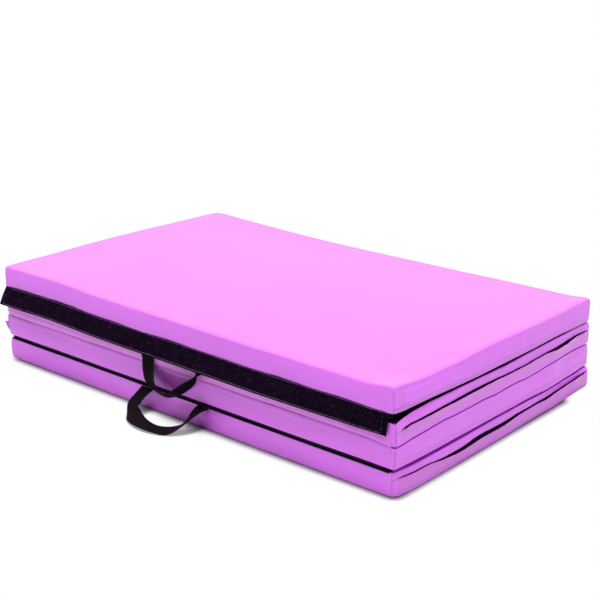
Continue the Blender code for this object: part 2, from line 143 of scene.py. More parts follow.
# The seams round the faces lie this far from the edge, counted down the wall, so on the face
SEAM_FROM_EDGE = -5.2 * MM
SEAM_WIDTH = 1.5 * MM
SEAM_DEPTH = 1.0 * MM
SEAM_PULL = 9 * MM
CORNER_RIDGE_AT = 3.5 * MM
CORNER_RIDGE_WIDTH = 2 * MM
CORNER_RIDGE_HEIGHT = 0.4 * MM
PINCH_WIDTH = 6 * MM
PINCH_DEPTH = 1.2 * MM
WALL_SWELL = 1.2 * MM
EDGE_SWELL_WIDTH = 14 * MM
TOP_CROWN = 1.0 * MM
TOP_BORDER = 30 * MM
FACE_SWELL = 0.3 * MM
# Unevenness of the stretched cloth: how long its waves are, and how high they stand
WAVE_COUNT = 7
SLACK = (230 * MM, 0.8 * MM)
DRAG = (55 * MM, 0.25 * MM)
PUCKER = (17 * MM, 0.3 * MM)
EDGE_WAVE = (170 * MM, 0.9 * MM)
TOP_WAVE = (350 * MM, 0.5 * MM)
# The zip lies in a groove of the right-hand wall, 24 mm from the face that joins the next panel
ZIP_FROM_FACE = 24 * MM
ZIP_LEVEL = HALF_Z - ZIP_FROM_FACE
ZIP_FRONT = -HALF_Y + 34 * MM
ZIP_BACK = HALF_Y - 14 * MM
GROOVE_DEPTH = 3.2 * MM
GROOVE_LIP = 0.6 * MM
GROOVE_END = 3 * MM
# How much further forward than its zip each slit opens
SLIT_AHEAD = {1: 0, 2: 7 * MM, 3: 0, 4: 13 * MM}
# Tables along the right-hand wall, in mm: distance from the front corner, then a height. The gap over
# a guard's lip runs between its two edges, which are heights over the zip's line on the wall.
GAP_TOP = {
    1: ((0, 4.8), (762, 4.8)),
    2: ((0, 4), (45, 4), (62, 3), (97, 2.6), (168, 3), (204, 3.6), (241, 4.4), (300, 5), (355, 5.6),
        (395, 4), (435, 3), (476, 1.6), (518, 3), (560, 2.6), (603, 2.6), (650, 5), (700, 6), (762, 6)),
    3: ((0, 4.8), (762, 4.8)),
    4: ((0, 9), (62, 9.5), (100, 9.3), (150, 4.6), (200, 4), (241, 5), (278, 8), (316, 6.8), (355, 5),
        (400, 6), (435, 7.4), (476, 7.5), (518, 8.6), (560, 8.5), (603, 9.7), (647, 11), (692, 12.8),
        (762, 13)),
}
GAP_BOTTOM = -9.5 * MM
# How far the wall swells out above each slit, from this far under the slit's upper edge on; where the
# swelling starts and ends along the wall; and its own waves, as a length and a share
ROLL_BELOW = 2 * MM
ROLL_STARTS = (ZIP_FRONT - 20 * MM, ZIP_FRONT + 60 * MM)
ROLL_ENDS = (ZIP_BACK - 40 * MM, ZIP_BACK)
ROLL_WAVE = (300 * MM, 0.3)
ROLL = {
    1: ((0, 1.2), (762, 1.2)),
    2: ((0, 4), (120, 3), (250, 0), (762, -1)),
    3: ((0, 1.2), (762, 1.2)),
    4: ((0, 1), (100, 0), (200, -1), (762, -2)),
}
# How far the upper and lower edges of the right-hand wall hang below their places in the stack
UPPER_SAG = {
    1: ((0, 6), (30, 4.6), (65, 0.3), (98, -2.1), (238, -1.6), (310, 2.3), (465, 3.3), (550, 1.6),
        (632, 2.2), (718, 6), (762, 4)),
    2: ((0, -5.5), (50, 2), (100, 4.5), (200, 2.7), (300, 0), (400, -2.7), (500, 0), (600, 1.6),
        (762, 0)),
    3: ((0, -5.5), (29, -6), (45, -3), (97, -1), (132, 1), (168, 2.5), (204, 1), (316, 2), (355, -1.5),
        (435, 2), (476, -0.5), (518, 0), (560, 2.5), (603, 3.5), (647, 2), (762, 0)),
    4: ((0, 0), (476, -0.5), (560, -1.5), (762, -2)),
}
LOWER_SAG = {
    1: ((0, 2), (100, 1.7), (200, 0.4), (300, -2), (400, -2.9), (500, 0), (600, 2), (762, 0)),
    2: ((0, -4), (29, -4.5), (45, -1.5), (97, 0.5), (132, 2.5), (168, 4), (204, 2.5), (316, 3.5),
        (355, 0), (435, 3.5), (476, 1), (518, 1.5), (560, 4), (603, 5), (647, 3.5), (762, 1.5)),
    3: ((0, 0), (762, 0)),
    4: ((0, 0), (762, 0)),
}
# How far these two edges stand out past their places
UPPER_REACH = {
    1: ((0, 1), (692, 0), (762, -2.5)),
    2: ((0, 8.5), (30, 6), (204, 6), (241, 4.5), (316, 3), (395, 2), (518, 3), (647, 2.5), (692, -1),
        (762, 0)),
    3: ((0, 8.5), (60, 9.5), (600, 9.5), (647, 3), (692, 1), (762, 0)),
    4: ((0, 1), (29, 5), (60, 10), (204, 13), (241, 13), (316, 8), (395, 9), (560, 12), (603, 10),
        (692, 9), (738, 5), (762, 4)),
}
LOWER_REACH = {
    1: ((0, 2.5), (29, 5.5), (204, 5.5), (241, 4), (316, 2.5), (395, 1.5), (518, 2), (692, 0),
        (762, -2.5)),
    2: UPPER_REACH[3],
    3: ((0, 6.5), (60, 9), (395, 8.5), (476, 9), (560, 11.5), (603, 10.5), (647, 8), (692, 6), (738, 1),
        (762, 0)),
    4: ((0, 1), (15, 8), (45, 11), (60, 12), (400, 12), (475, 10.5), (603, 9.5), (647, 7.5), (692, 7),
        (762, 4)),
}
# These act from here to the wall, at their fullest this far from it
SAG_REACH = 70 * MM
SAG_FULL = 4 * MM
# The top panel bends down along its front: distance from the left end, then the drop
FRONT_DROP = ((0, 4), (90, 3.8), (150, 2.5), (208, 3), (282, 5.5), (353, 7.5), (457, 8.5), (622, 9),
              (748, 10.6), (867, 11.7), (981, 11), (1088, 10.5), (1140, 11), (1219, 10))
# Its upper face sags towards the back, by these drops from the left end on, and its left end bulges up,
# by these heights from the front on
BACK_DROP = ((0, 1), (47, 1.2), (145, 4.7), (239, 7.4), (331, 8.6), (420, 9.6), (507, 9.0), (592, 7.6),
             (674, 6.4), (753, 5.8), (831, 4.8), (907, 3.4), (980, 2.2), (1052, 1.2), (1122, 0.3),
             (1219, 0))
LEFT_RISE = ((0, 0.5), (45, 1.2), (142, 2), (208, 3), (277, 3.7), (347, 4.1), (419, 3.7), (493, 3),
             (569, 1.8), (648, 0.6), (762, -1))
# How far left of the middle that bulge starts, and the reach of the left ends
BULGE_FROM = 300 * MM
REACH_FROM = 350 * MM
# How much further than its place each cover's left end reaches, at its upper and at its lower edge
LEFT_REACH = {1: (7 * MM, 7 * MM), 2: (6 * MM, 6 * MM), 3: (8.5 * MM, 2.5 * MM), 4: (2 * MM, 2 * MM)}


def smooth_step(value, start, end):
    """0 before start, 1 after end, and a smooth S between them."""
    share = np.clip((value - start) / (end - start), 0, 1)
    return share * share * (3 - 2 * share)


def bump(value, width):
    """A bell curve of that width round 0."""
    return np.exp(-((value / width) ** 2))


def waves(points, length, height, seed):
    """Smooth unevenness of about that height: a sum of sine waves about that long, each with its own
    direction and start, divided by the root of their number."""
    random = np.random.default_rng(seed)
    directions = random.normal(size=(WAVE_COUNT, 3))
    directions /= np.linalg.norm(directions, axis=1)[:, None]
    turns = directions / (length * random.uniform(0.7, 1.5, WAVE_COUNT))[:, None]
    starts = random.uniform(0, 2 * math.pi, WAVE_COUNT)
    return height * np.sin(2 * math.pi * points @ turns.T + starts).sum(1) / math.sqrt(WAVE_COUNT)


def grid_lines(half):
    """Grid lines from -half to half: close ones in the borders, wide ones between them."""
    border = np.arange(0, EDGE_BORDER, EDGE_STEP)
    inner = half - EDGE_BORDER
    middle = np.linspace(-inner, inner, round(2 * inner / FACE_STEP) + 1)
    return np.concatenate([border - half, middle, (half - border)[::-1]])


def box_skin(xs, ys, zs):
    """The points of a grid that lie on its box's skin, and the quads that join them, facing out."""
    inside = np.zeros((len(xs), len(ys), len(zs)), bool)
    inside[1:-1, 1:-1, 1:-1] = True
    number = np.zeros(inside.shape, int)
    number[~inside] = np.arange((~inside).sum())
    points = np.stack(np.meshgrid(xs, ys, zs, indexing="ij"), -1)[~inside]
    quads = []
    for axis in range(3):
        for end in (0, -1):
            side = np.take(number, end, axis)
            corners = [side[:-1, :-1], side[1:, :-1], side[1:, 1:], side[:-1, 1:]]
            if (end == 0) != (axis == 1):
                corners.reverse()
            quads.append(np.stack(corners, -1).reshape(-1, 4))
    return points, np.concatenate(quads)


def rounded(flat):
    """Where points of the sharp box lie once its edges are round, and the directions out of it.
    Each point is pushed straight away from the box's inner core to the edge radius from it."""
    core = np.clip(flat, EDGE_RADIUS - HALF, HALF - EDGE_RADIUS)
    out = flat - core
    out /= np.linalg.norm(out, axis=1)[:, None]
    return core + out * EDGE_RADIUS, out


def along_wall(table, y):
    """A table's height at the places y from the front on, in metres."""
    at, heights = np.array(table).T * MM
    return np.interp(y + HALF_Y, at, heights)


def along_front(table, x):
    """A table's height at the places x from the left end on, in metres."""
    at, heights = np.array(table).T * MM
    return np.interp(x + HALF_X, at, heights)


def settle(number, flat, local):
    """Moves a panel's points from their places to where the soft cover lies. At the right-hand wall's
    upper and lower edges they rise or fall and reach out by the tables, less towards the wall's other
    edge and inwards over the face. The top panel drops towards its front, sags at the back and bulges
    at the left, and the left ends reach out."""
    x, y, z = flat.T
    inward = smooth_step(x, HALF_X - SAG_REACH, HALF_X - SAG_FULL)
    high, low = smooth_step(z, -HALF_Z, HALF_Z), smooth_step(-z, -HALF_Z, HALF_Z)
    rise = inward * (along_wall(UPPER_SAG[number], y) * high + along_wall(LOWER_SAG[number], y) * low)
    shift = inward * (along_wall(UPPER_REACH[number], y) * high + along_wall(LOWER_REACH[number], y) * low)
    if number == 1:
        rise -= along_front(FRONT_DROP, x) * np.clip((HALF_Y - y) / (2 * HALF_Y), 0, 1)
        bulge = along_wall(LEFT_RISE, y) * smooth_step(-x, BULGE_FROM, HALF_X)
        sag = along_front(BACK_DROP, x) * smooth_step(y, 0, HALF_Y)
        rise += (bulge - sag) * high
    upper_reach, lower_reach = LEFT_REACH[number]
    reach = lower_reach + (upper_reach - lower_reach) * np.clip((z + HALF_Z) / (2 * HALF_Z), 0, 1)
    shift -= reach * smooth_step(-x, REACH_FROM, HALF_X)
    return local + np.stack([shift, 0 * rise, rise], -1)


def swell(number, flat, out):
    """How far the cover stands out from the rounded box: walls bowed between their seams, the roll
    above a zip, soft waves along the edges, grooves at the seams and the zip, and pinched corners.
    The faces that lie on the floor or on the next panel hardly swell."""
    x, y, z = flat.T
    wall = out[:, 0] ** 2 + out[:, 1] ** 2
    to_side = np.minimum(HALF_X - abs(x), HALF_Y - abs(y))
    down = (HALF_Z - abs(z)) - to_side
    corner = np.maximum(HALF_X - abs(x), HALF_Y - abs(y))
    seed = 10 * number
    uneven = waves(flat * (1, 1, 0.3), *SLACK, seed) + waves(flat * (1, 1, 0.2), *DRAG, seed + 1)
    bow = (1 - (z / HALF_Z) ** 2) * (WALL_SWELL + uneven)
    edge = bump(down, EDGE_SWELL_WIDTH) * waves(flat, *EDGE_WAVE, seed + 3)
    height = wall * bow + edge * (0.3 + 0.7 * wall)
    height += bump(down, SEAM_PULL) * wall * waves(flat * (1, 1, 0.3), *PUCKER, seed + 2)

    right = np.clip(out[:, 0], 0, 1) ** 2
    level = JOINING_UP[number] * z - ZIP_LEVEL
    gap_top = along_wall(GAP_TOP[number], y)
    along = smooth_step(y, *ROLL_STARTS) * (1 - smooth_step(y, *ROLL_ENDS))
    rise = np.clip((level - gap_top + ROLL_BELOW) / (ZIP_FROM_FACE - gap_top + ROLL_BELOW), 0, 1)
    roll = along_wall(ROLL[number], y) * (1 + waves(flat, *ROLL_WAVE, seed + 4))
    height += right * along * np.sin(math.pi * rise ** 0.8) * roll
    groove = smooth_step(gap_top - level, -GROOVE_LIP, GROOVE_LIP)
    groove *= smooth_step(level - GAP_BOTTOM, -GROOVE_LIP, GROOVE_LIP)
    front = ZIP_FRONT - SLIT_AHEAD[number]
    groove *= right * smooth_step(y, front - GROOVE_END, front)
    groove *= 1 - smooth_step(y, ZIP_BACK, ZIP_BACK + GROOVE_END)
    height = height * (1 - groove) - GROOVE_DEPTH * groove

    height -= bump(down - SEAM_FROM_EDGE, SEAM_WIDTH) * SEAM_DEPTH
    height -= bump(corner, SEAM_WIDTH) * SEAM_DEPTH * wall
    height += bump(corner - CORNER_RIDGE_AT, CORNER_RIDGE_WIDTH) * CORNER_RIDGE_HEIGHT * wall
    height -= bump(np.hypot(corner, down), PINCH_WIDTH) * PINCH_DEPTH
    face = 1 - wall
    if number == 1:
        domed = (1 - (x / HALF_X) ** 2) * (1 - (y / HALF_Y) ** 2)
        upper = (z > 0) * face * (1 - bump(down, TOP_BORDER))
        height += upper * (TOP_CROWN * domed + waves(flat, *TOP_WAVE, seed + 5))
    touching = face * (abs(z) > HALF_Z - 1 * MM) * ((z < 0) | (number > 1))
    limit = 0.0 if number == 4 else FACE_SWELL
    return np.where(touching > 0.5, np.minimum(height, limit), height)


def turn(number):
    """The rotation about X that lifts the panel's front by its lean."""
    c, s = math.cos(LEAN[number]), math.sin(LEAN[number])
    return np.array([[1, 0, 0], [0, c, s], [0, -s, c]])


def cover_middle(number):
    """The middle of a panel's box."""
    low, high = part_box(f"panel_{number}_cover")
    return np.array((low + high) / 2)


def in_world(number, local):
    """A panel's own points in the world."""
    return local @ turn(number).T + cover_middle(number)


def on_cover(number, flat, lift=0.0):
    """Points over a panel's cover, in the world, and the directions out of it. flat is where they
    would be on the sharp box, and lift how far they stand off the cloth."""
    surface, out = rounded(flat)
    local = settle(number, flat, surface + out * (swell(number, flat, out) + lift)[:, None])
    return in_world(number, local), out @ turn(number).T


def make_mesh(name, points, quads, **attributes):
    """A smooth mesh object at the origin, from arrays of points, quads and values for each point."""
    mesh = bpy.data.meshes.new(name)
    mesh.vertices.add(len(points))
    mesh.vertices.foreach_set("co", np.asarray(points, np.float32).ravel())
    mesh.loops.add(quads.size)
    mesh.loops.foreach_set("vertex_index", quads.astype(np.int32).ravel())
    mesh.polygons.add(len(quads))
    mesh.polygons.foreach_set("loop_start", np.arange(0, quads.size, quads.shape[1], dtype=np.int32))
    mesh.update(calc_edges=True)
    for attribute, values in attributes.items():
        layer = mesh.attributes.new(attribute, "FLOAT", "POINT")
        layer.data.foreach_set("value", np.asarray(values, np.float32))
    mesh.shade_smooth()
    obj = bpy.data.objects.new(name, mesh)
    bpy.context.scene.collection.objects.link(obj)
    return obj


VINYL = "#DE68F4"
VINYL_PALE = "#E672F9"
# The colour of the painted shade in seams, creases and other shadowed lines
VINYL_SEAM_SHADE = "#9A3CB4"
# The vinyl's colour in painted shade, for the guards of panels 2 and 4 and low on panel 1's right wall
SHADED_VINYL = "#D66CE2"
SHADED_VINYL_PALE = "#DE76E8"
GRAIN = 1.2 * MM
PEEL = 9 * MM
# Noise scale of the faint patches, each about 110 mm wide
PATCHES = 9.0


def make_vinyl(name, colour, pale, band_colour):
    """PVC-coated cloth, embossed while warm: an even satin orchid, with a fine leather grain and soft
    orange-peel from the foam under it. Where the attribute seam says, painted shade deepens its colour:
    along seams, hems, tack lines and the crease of a fold, and over the ear. Where the attribute band
    says, a second colour is painted in: painted shade low on panel 1's right-hand wall, and a painted
    highlight on the upper half of the front fold's strip."""
    material, tree, shader = new_material(name, IOR=1.52, Specular_IOR_Level=0.6)
    place = add(tree, "TexCoord").outputs["Object"]
    cloud = add(tree, "TexNoise", {"Vector": place, "Scale": PATCHES, "Detail": 3.0})
    tone = add(tree, "Mix", {"Factor": cloud.outputs["Fac"], "A": colour, "B": pale}, data_type="RGBA")
    # The band attribute paints in shade low on panel 1's wall, and a highlight on the front fold's strip
    band = add(tree, "Attribute", attribute_name="band")
    banded = add(tree, "Mix", {"Factor": band.outputs["Fac"], "A": tone.outputs["Result"], "B": band_colour},
                 data_type="RGBA")
    # Painted shade in the seams, hems and creases
    seam = add(tree, "Attribute", attribute_name="seam")
    sewn = add(tree, "Mix", {"Factor": seam.outputs["Fac"], "A": banded.outputs["Result"], "B": VINYL_SEAM_SHADE},
               data_type="RGBA")
    grain = add(tree, "TexVoronoi", {"Vector": place, "Scale": 1 / GRAIN}, feature="SMOOTH_F1")
    fine = add(tree, "Bump", {"Height": grain.outputs["Distance"], "Distance": 0.06 * MM, "Strength": 0.5})
    peel = add(tree, "TexNoise", {"Vector": place, "Scale": 1 / PEEL, "Detail": 1.0})
    coarse = add(tree, "Bump", {"Height": peel.outputs["Fac"], "Distance": 0.12 * MM, "Strength": 0.5,
                                "Normal": fine.outputs["Normal"]})
    gloss = add(tree, "MapRange", {"Value": cloud.outputs["Fac"], "To Min": 0.27, "To Max": 0.33})
    feed(tree, shader, Base_Color=sewn.outputs["Result"], Roughness=gloss.outputs["Result"],
         Normal=coarse.outputs["Normal"])
    return material


vinyl = make_vinyl("embossed_pvc_vinyl", VINYL, VINYL_PALE, SHADED_VINYL)
# How deep the painted shade in the seams is: round the faces, and at each cover's corners
FACE_SEAM_SHADE = 0.5
CORNER_SEAM_SHADE = {1: 0.25, 2: 0.6, 3: 0.35, 4: 0.45}
# The stitches that run from the front corner to each slit, drawn as a dark line of painted shade that
# carries the lip's shadow line on to the corner: their height over the zip's line. Panel 3 has none,
# which a height above its wall says.
TACK_SHADE_LEVEL = {1: 13.5 * MM, 2: 2.6 * MM, 3: 40 * MM, 4: 8.5 * MM}
TACK_SHADE_WIDTH = 0.9 * MM
# Below this, panel 1's right-hand wall is painted in shade, in the vinyl's shaded colour
SHADE_BAND_EDGE = (15.5 * MM, 17 * MM)


def make_cover(number):
    """The skin grid over the whole box, rounded and swollen, with its seams marked."""
    steps = np.linspace(-HALF_Z, HALF_Z, round(2 * HALF_Z / WALL_STEP) + 1)
    flat, quads = box_skin(grid_lines(HALF_X), grid_lines(HALF_Y), steps)
    points, _ = on_cover(number, flat)
    x, y, z = abs(flat.T)
    down = (HALF_Z - z) - np.minimum(HALF_X - x, HALF_Y - y)
    corner = np.maximum(HALF_X - x, HALF_Y - y)
    # The tack line, drawn in painted shade
    tack_shade = bump(JOINING_UP[number] * flat[:, 2] - ZIP_LEVEL - TACK_SHADE_LEVEL[number], TACK_SHADE_WIDTH)
    tack_shade *= (flat[:, 0] > HALF_X - 1 * MM) * (flat[:, 1] < ZIP_FRONT)
    seam = np.maximum(tack_shade, FACE_SEAM_SHADE * bump(down - SEAM_FROM_EDGE, SEAM_WIDTH))
    seam = np.maximum(seam, CORNER_SEAM_SHADE[number] * bump(corner, SEAM_WIDTH) * (down > 0))
    # Low on panel 1's right-hand wall the vinyl takes painted shade
    right = smooth_step(flat[:, 0], HALF_X - 3 * MM, HALF_X - 0.5 * MM)
    band = (number == 1) * right * smooth_step(-flat[:, 2], *SHADE_BAND_EDGE)
    cover = make_mesh(f"vinyl_cover_{number}", points, quads, seam=seam, band=band)
    cover.data.materials.append(vinyl)
    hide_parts(f"panel_{number}_cover")
    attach(cover, f"panel_{number}")


def make_core(number):
    """The foam under a cover: the cover's own form, a few millimetres further in."""
    step = 2 * FACE_STEP
    across = [np.linspace(-half, half, round(2 * half / step) + 1) for half in (HALF_X, HALF_Y)]
    flat, quads = box_skin(*across, np.linspace(-HALF_Z, HALF_Z, 7))
    points, _ = on_cover(number, flat, -FOAM_DEPTH)
    core = make_mesh(f"foam_core_{number}", points, quads)
    core.data.materials.append(foam)
    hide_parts(f"panel_{number}_foam_core")
    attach(core, f"panel_{number}")


for number in PANELS:
    make_cover(number)
    make_core(number)

# The zips: a coil zip along the right-hand wall of each cover, moulded polyester teeth on a woven
# tape, sewn in dark so that it vanishes under its guard. The slider is painted zinc, with no pull.
TAPE_THICKNESS = 0.9 * MM
TAPE_SUNK = 1.6 * MM
TOOTH_PITCH = 2.0 * MM
TOOTH_SIZE = np.array([0.9, 0.7, 1.25]) * MM
TAPE_GAP = 0.3 * MM
# Teeth lie in two rows, this far to either side of the zip's line, and this far under the gap's edge
TOOTH_LEAN = 0.4 * MM
TOOTH_UNDER = 2.5 * MM
ZIP_DARK = "#12041A"
ZIP_LIGHT = "#1E0A28"
# Real ribs are 0.7 mm apart, too fine to show at the photograph's distance, so they are drawn coarser
ZIP_RIB = 7.54 * MM
# The bands of a wave texture are this far apart at scale 1
WAVE_BAND = 2 * math.pi / 20


def copies(template, quads, places, along, up):
    """The template's points put at every place, its X turned to along and its Z to up, as one mesh."""
    side = np.cross(up, along)
    turned = (template[None, :, 0, None] * along[:, None] + template[None, :, 1, None] * side[:, None]
              + template[None, :, 2, None] * up[:, None])
    points = (turned + places[:, None]).reshape(-1, 3)
    shifts = np.arange(len(places))[:, None, None] * len(template)
    return points, (quads[None] + shifts).reshape(-1, quads.shape[1])


def rounded_block(size):
    """A small closed block with rounded corners, of that half size: a 3 by 3 by 3 skin grid, each
    point pulled to where the block meets a superellipsoid."""
    steps = np.array([-1.0, 0.0, 1.0])
    points, quads = box_skin(steps, steps, steps)
    points = points / (abs(points) ** 4).sum(1)[:, None] ** 0.25
    return points * size, quads


def joined(*meshes):
    """Several arrays of points and quads as one pair."""
    starts = np.cumsum([0] + [len(points) for points, _ in meshes])
    return (np.concatenate([points for points, _ in meshes]),
            np.concatenate([quads + start for (_, quads), start in zip(meshes, starts)]))


def make_zip_weave():
    """Polyester tape and coil, dyed in the piece: nearly black violet, ribbed across the tape."""
    material, tree, shader = new_material("polyester_zip_tape", Roughness=0.8, IOR=1.5,
                                          Specular_IOR_Level=0.05)
    place = add(tree, "TexCoord").outputs["Object"]
    ribs = add(tree, "TexWave", {"Vector": place, "Scale": WAVE_BAND / ZIP_RIB, "Distortion": 0.5},
               bands_direction="Y")
    shade = add(tree, "Mix", {"Factor": ribs.outputs["Fac"], "A": ZIP_DARK, "B": ZIP_LIGHT},
                data_type="RGBA")
    bumps = add(tree, "Bump", {"Height": ribs.outputs["Fac"], "Distance": 0.15 * MM})
    feed(tree, shader, Base_Color=shade.outputs["Result"], Normal=bumps.outputs["Normal"])
    return material


def make_zip(number, finish):
    """A flat tape that fills the groove, with a row of teeth from either side, each reaching past
    the middle. The teeth keep to the zip's line, or below it where the cover rolls over that."""
    up = JOINING_UP[number]
    ys = np.linspace(ZIP_FRONT + TAPE_GAP, ZIP_BACK - TAPE_GAP, 200)
    middle = HALF_X - TAPE_SUNK
    tape, tape_quads = box_skin(np.array([-TAPE_THICKNESS, 0]) + middle, ys, np.linspace(0, 1, 5))
    bottom = GAP_BOTTOM + TAPE_GAP
    top = along_wall(GAP_TOP[number], tape[:, 1]) - TAPE_GAP
    tape[:, 2] = up * (ZIP_LEVEL + bottom + tape[:, 2] * (top - bottom))
    if up < 0:
        tape_quads = tape_quads[:, ::-1]
    count = int((ZIP_BACK - ZIP_FRONT) / TOOTH_PITCH) - 2
    index = np.arange(count)
    tooth_y = ZIP_FRONT + (index + 1) * TOOTH_PITCH
    level = np.minimum(0, along_wall(GAP_TOP[number], tooth_y) - TOOTH_UNDER)
    lean = np.where(index % 2, TOOTH_LEAN, -TOOTH_LEAN)
    places = np.stack([np.full(count, middle), tooth_y, up * (ZIP_LEVEL + level) + lean], 1)
    along, upwards = np.tile([0.0, 1, 0], (count, 1)), np.tile([0.0, 0, 1], (count, 1))
    teeth = copies(*rounded_block(TOOTH_SIZE), places, along, upwards)
    points, quads = joined((tape, tape_quads), teeth)
    made = make_mesh(f"zip_{number}", in_world(number, settle(number, points, points)), quads)
    made.data.materials.append(finish)
    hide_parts(f"panel_{number}_zip_tape")
    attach(made, f"panel_{number}")


PAINT_SPECK = 1.5 * MM
PAINT_DARK = "#55555A"
PAINT_LIGHT = "#6B6B70"


def make_slider_paint():
    """Zinc, die-cast and stoved with grey paint: smooth, half glossy, a little speckled."""
    material, tree, shader = new_material("stoved_paint_on_zinc", Roughness=0.35, IOR=1.5)
    place = add(tree, "TexCoord").outputs["Object"]
    speck = add(tree, "TexNoise", {"Vector": place, "Scale": 1 / PAINT_SPECK, "Detail": 2.0})
    shade = add(tree, "Mix", {"Factor": speck.outputs["Fac"], "A": PAINT_DARK, "B": PAINT_LIGHT},
                data_type="RGBA")
    feed(tree, shader, Base_Color=shade.outputs["Result"])
    return material


def make_slider(number, finish):
    """The CAD's own slider, carried along with the cover to where the soft wall holds it."""
    node = frame["nodes"][f"panel_{number}_zip_slider"]
    points = np.zeros(3 * len(node.data.vertices), np.float32)
    node.data.vertices.foreach_get("co", points)
    world = points.reshape(-1, 3) @ np.array(node.matrix_world.to_3x3()).T
    world += np.array(node.matrix_world.translation)
    local = (world - cover_middle(number)) @ turn(number)
    centre = local.mean(0, keepdims=True)
    moved = local + settle(number, centre, centre) - centre - (TAPE_SUNK, 0, 0)
    slider = bpy.data.objects.new(f"zip_slider_{number}", node.data.copy())
    slider.data.vertices.foreach_set("co", in_world(number, moved).astype(np.float32).ravel())
    slider.data.materials.clear()
    slider.data.materials.append(finish)
    bpy.context.scene.collection.objects.link(slider)
    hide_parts(node.name)
    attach(slider, f"panel_{number}")


zip_weave = make_zip_weave()
slider_paint = make_slider_paint()
for number in PANELS:
    make_zip(number, zip_weave)
    make_slider(number, slider_paint)

# The guards: a strip of the same vinyl over each zip, sewn to the wall on the side away from the
# joining face. Its free edge stands off the zip, and gapes where the cover pulls. Those of panels 2 and 4
# are coloured in painted shade.
GUARD_THICKNESS = 1.0 * MM
GUARD_SEWN = ZIP_LEVEL - 20 * MM
GUARD_OVERRUN = 12 * MM
GUARD_FREE = 11 * MM
GUARD_ROWS = 260
GUARD_ACROSS = 18
# Unevenness, as length and height: of the lip's level, and of the standoff, long and short
LIP_WAVE = (160 * MM, 0.5 * MM)
STANDOFF_WAVE = (120 * MM, 0.4 * MM)
STANDOFF_RIPPLE = (30 * MM, 0.2 * MM)
# How deep its edges sink into the wall, how far it stands off at least, and its hem's line of stitches
GUARD_SUNK = 0.8 * MM
GUARD_OFF = 1.5 * MM
# Over what length its front and its back end come off the wall, and out of it
GUARD_RISES = (22 * MM, 14 * MM)
GUARD_TUCKS = (9 * MM, 5 * MM)
# The hem's line of stitches, its colour deepened by painted shade: its distance from the lip, width and depth
# of colour
HEM_FROM_LIP = 3 * MM
HEM_WIDTH = 0.8 * MM
HEM_SHADE = 0.4
# Tables along the wall, in mm, like the gap's: the lip's height over the zip's line, and how far it
# stands off the wall
LIP_LEVEL = {
    1: ((0, 13.5), (762, 13.5)),
    2: ((0, 2.5), (45, 2.7), (62, 1.2), (97, -0.2), (168, 0), (204, 1), (300, 3.3), (355, 4.9),
        (395, 3.4), (435, 2.5), (476, 1.2), (518, 3.1), (560, 2.7), (603, 0.2), (650, 2), (700, 5),
        (762, 5.5)),
    3: ((0, 7), (100, 9), (200, 13), (300, 15), (400, 15), (500, 13), (600, 9), (762, 6)),
    4: ((0, 8), (62, 9), (100, 9), (150, 3.2), (200, -1), (241, 0.5), (300, 0.7), (355, -0.6),
        (400, 0.2), (435, 3.8), (476, 5.2), (518, 7.3), (560, 5.3), (603, 8.5), (647, 9.9), (692, 13.1),
        (762, 13.2)),
}
LIP_STANDOFF = {
    1: ((0, 2.5), (60, 2), (762, 1.6)),
    2: ((0, 3), (100, 4), (200, 5), (300, 6), (400, 4.5), (500, 4), (560, 4), (600, 6), (650, 7),
        (700, 5), (762, 3.6)),
    3: ((0, 2.2), (762, 2.2)),
    4: ((0, 2.5), (100, 3), (200, 3.5), (400, 3.5), (600, 3.2), (762, 3)),
}


def sheet_grid(rows, columns):
    """The quads of a sheet whose points are numbered row by row."""
    index = np.arange(rows * columns).reshape(rows, columns)
    corners = [index[:-1, :-1], index[1:, :-1], index[1:, 1:], index[:-1, 1:]]
    return np.stack(corners, -1).reshape(-1, 4)


def thicken(obj, thickness):
    """Gives a sheet its thickness, half to each side."""
    solidify = obj.modifiers.new("thickness", "SOLIDIFY")
    solidify.thickness = thickness
    solidify.offset = 0


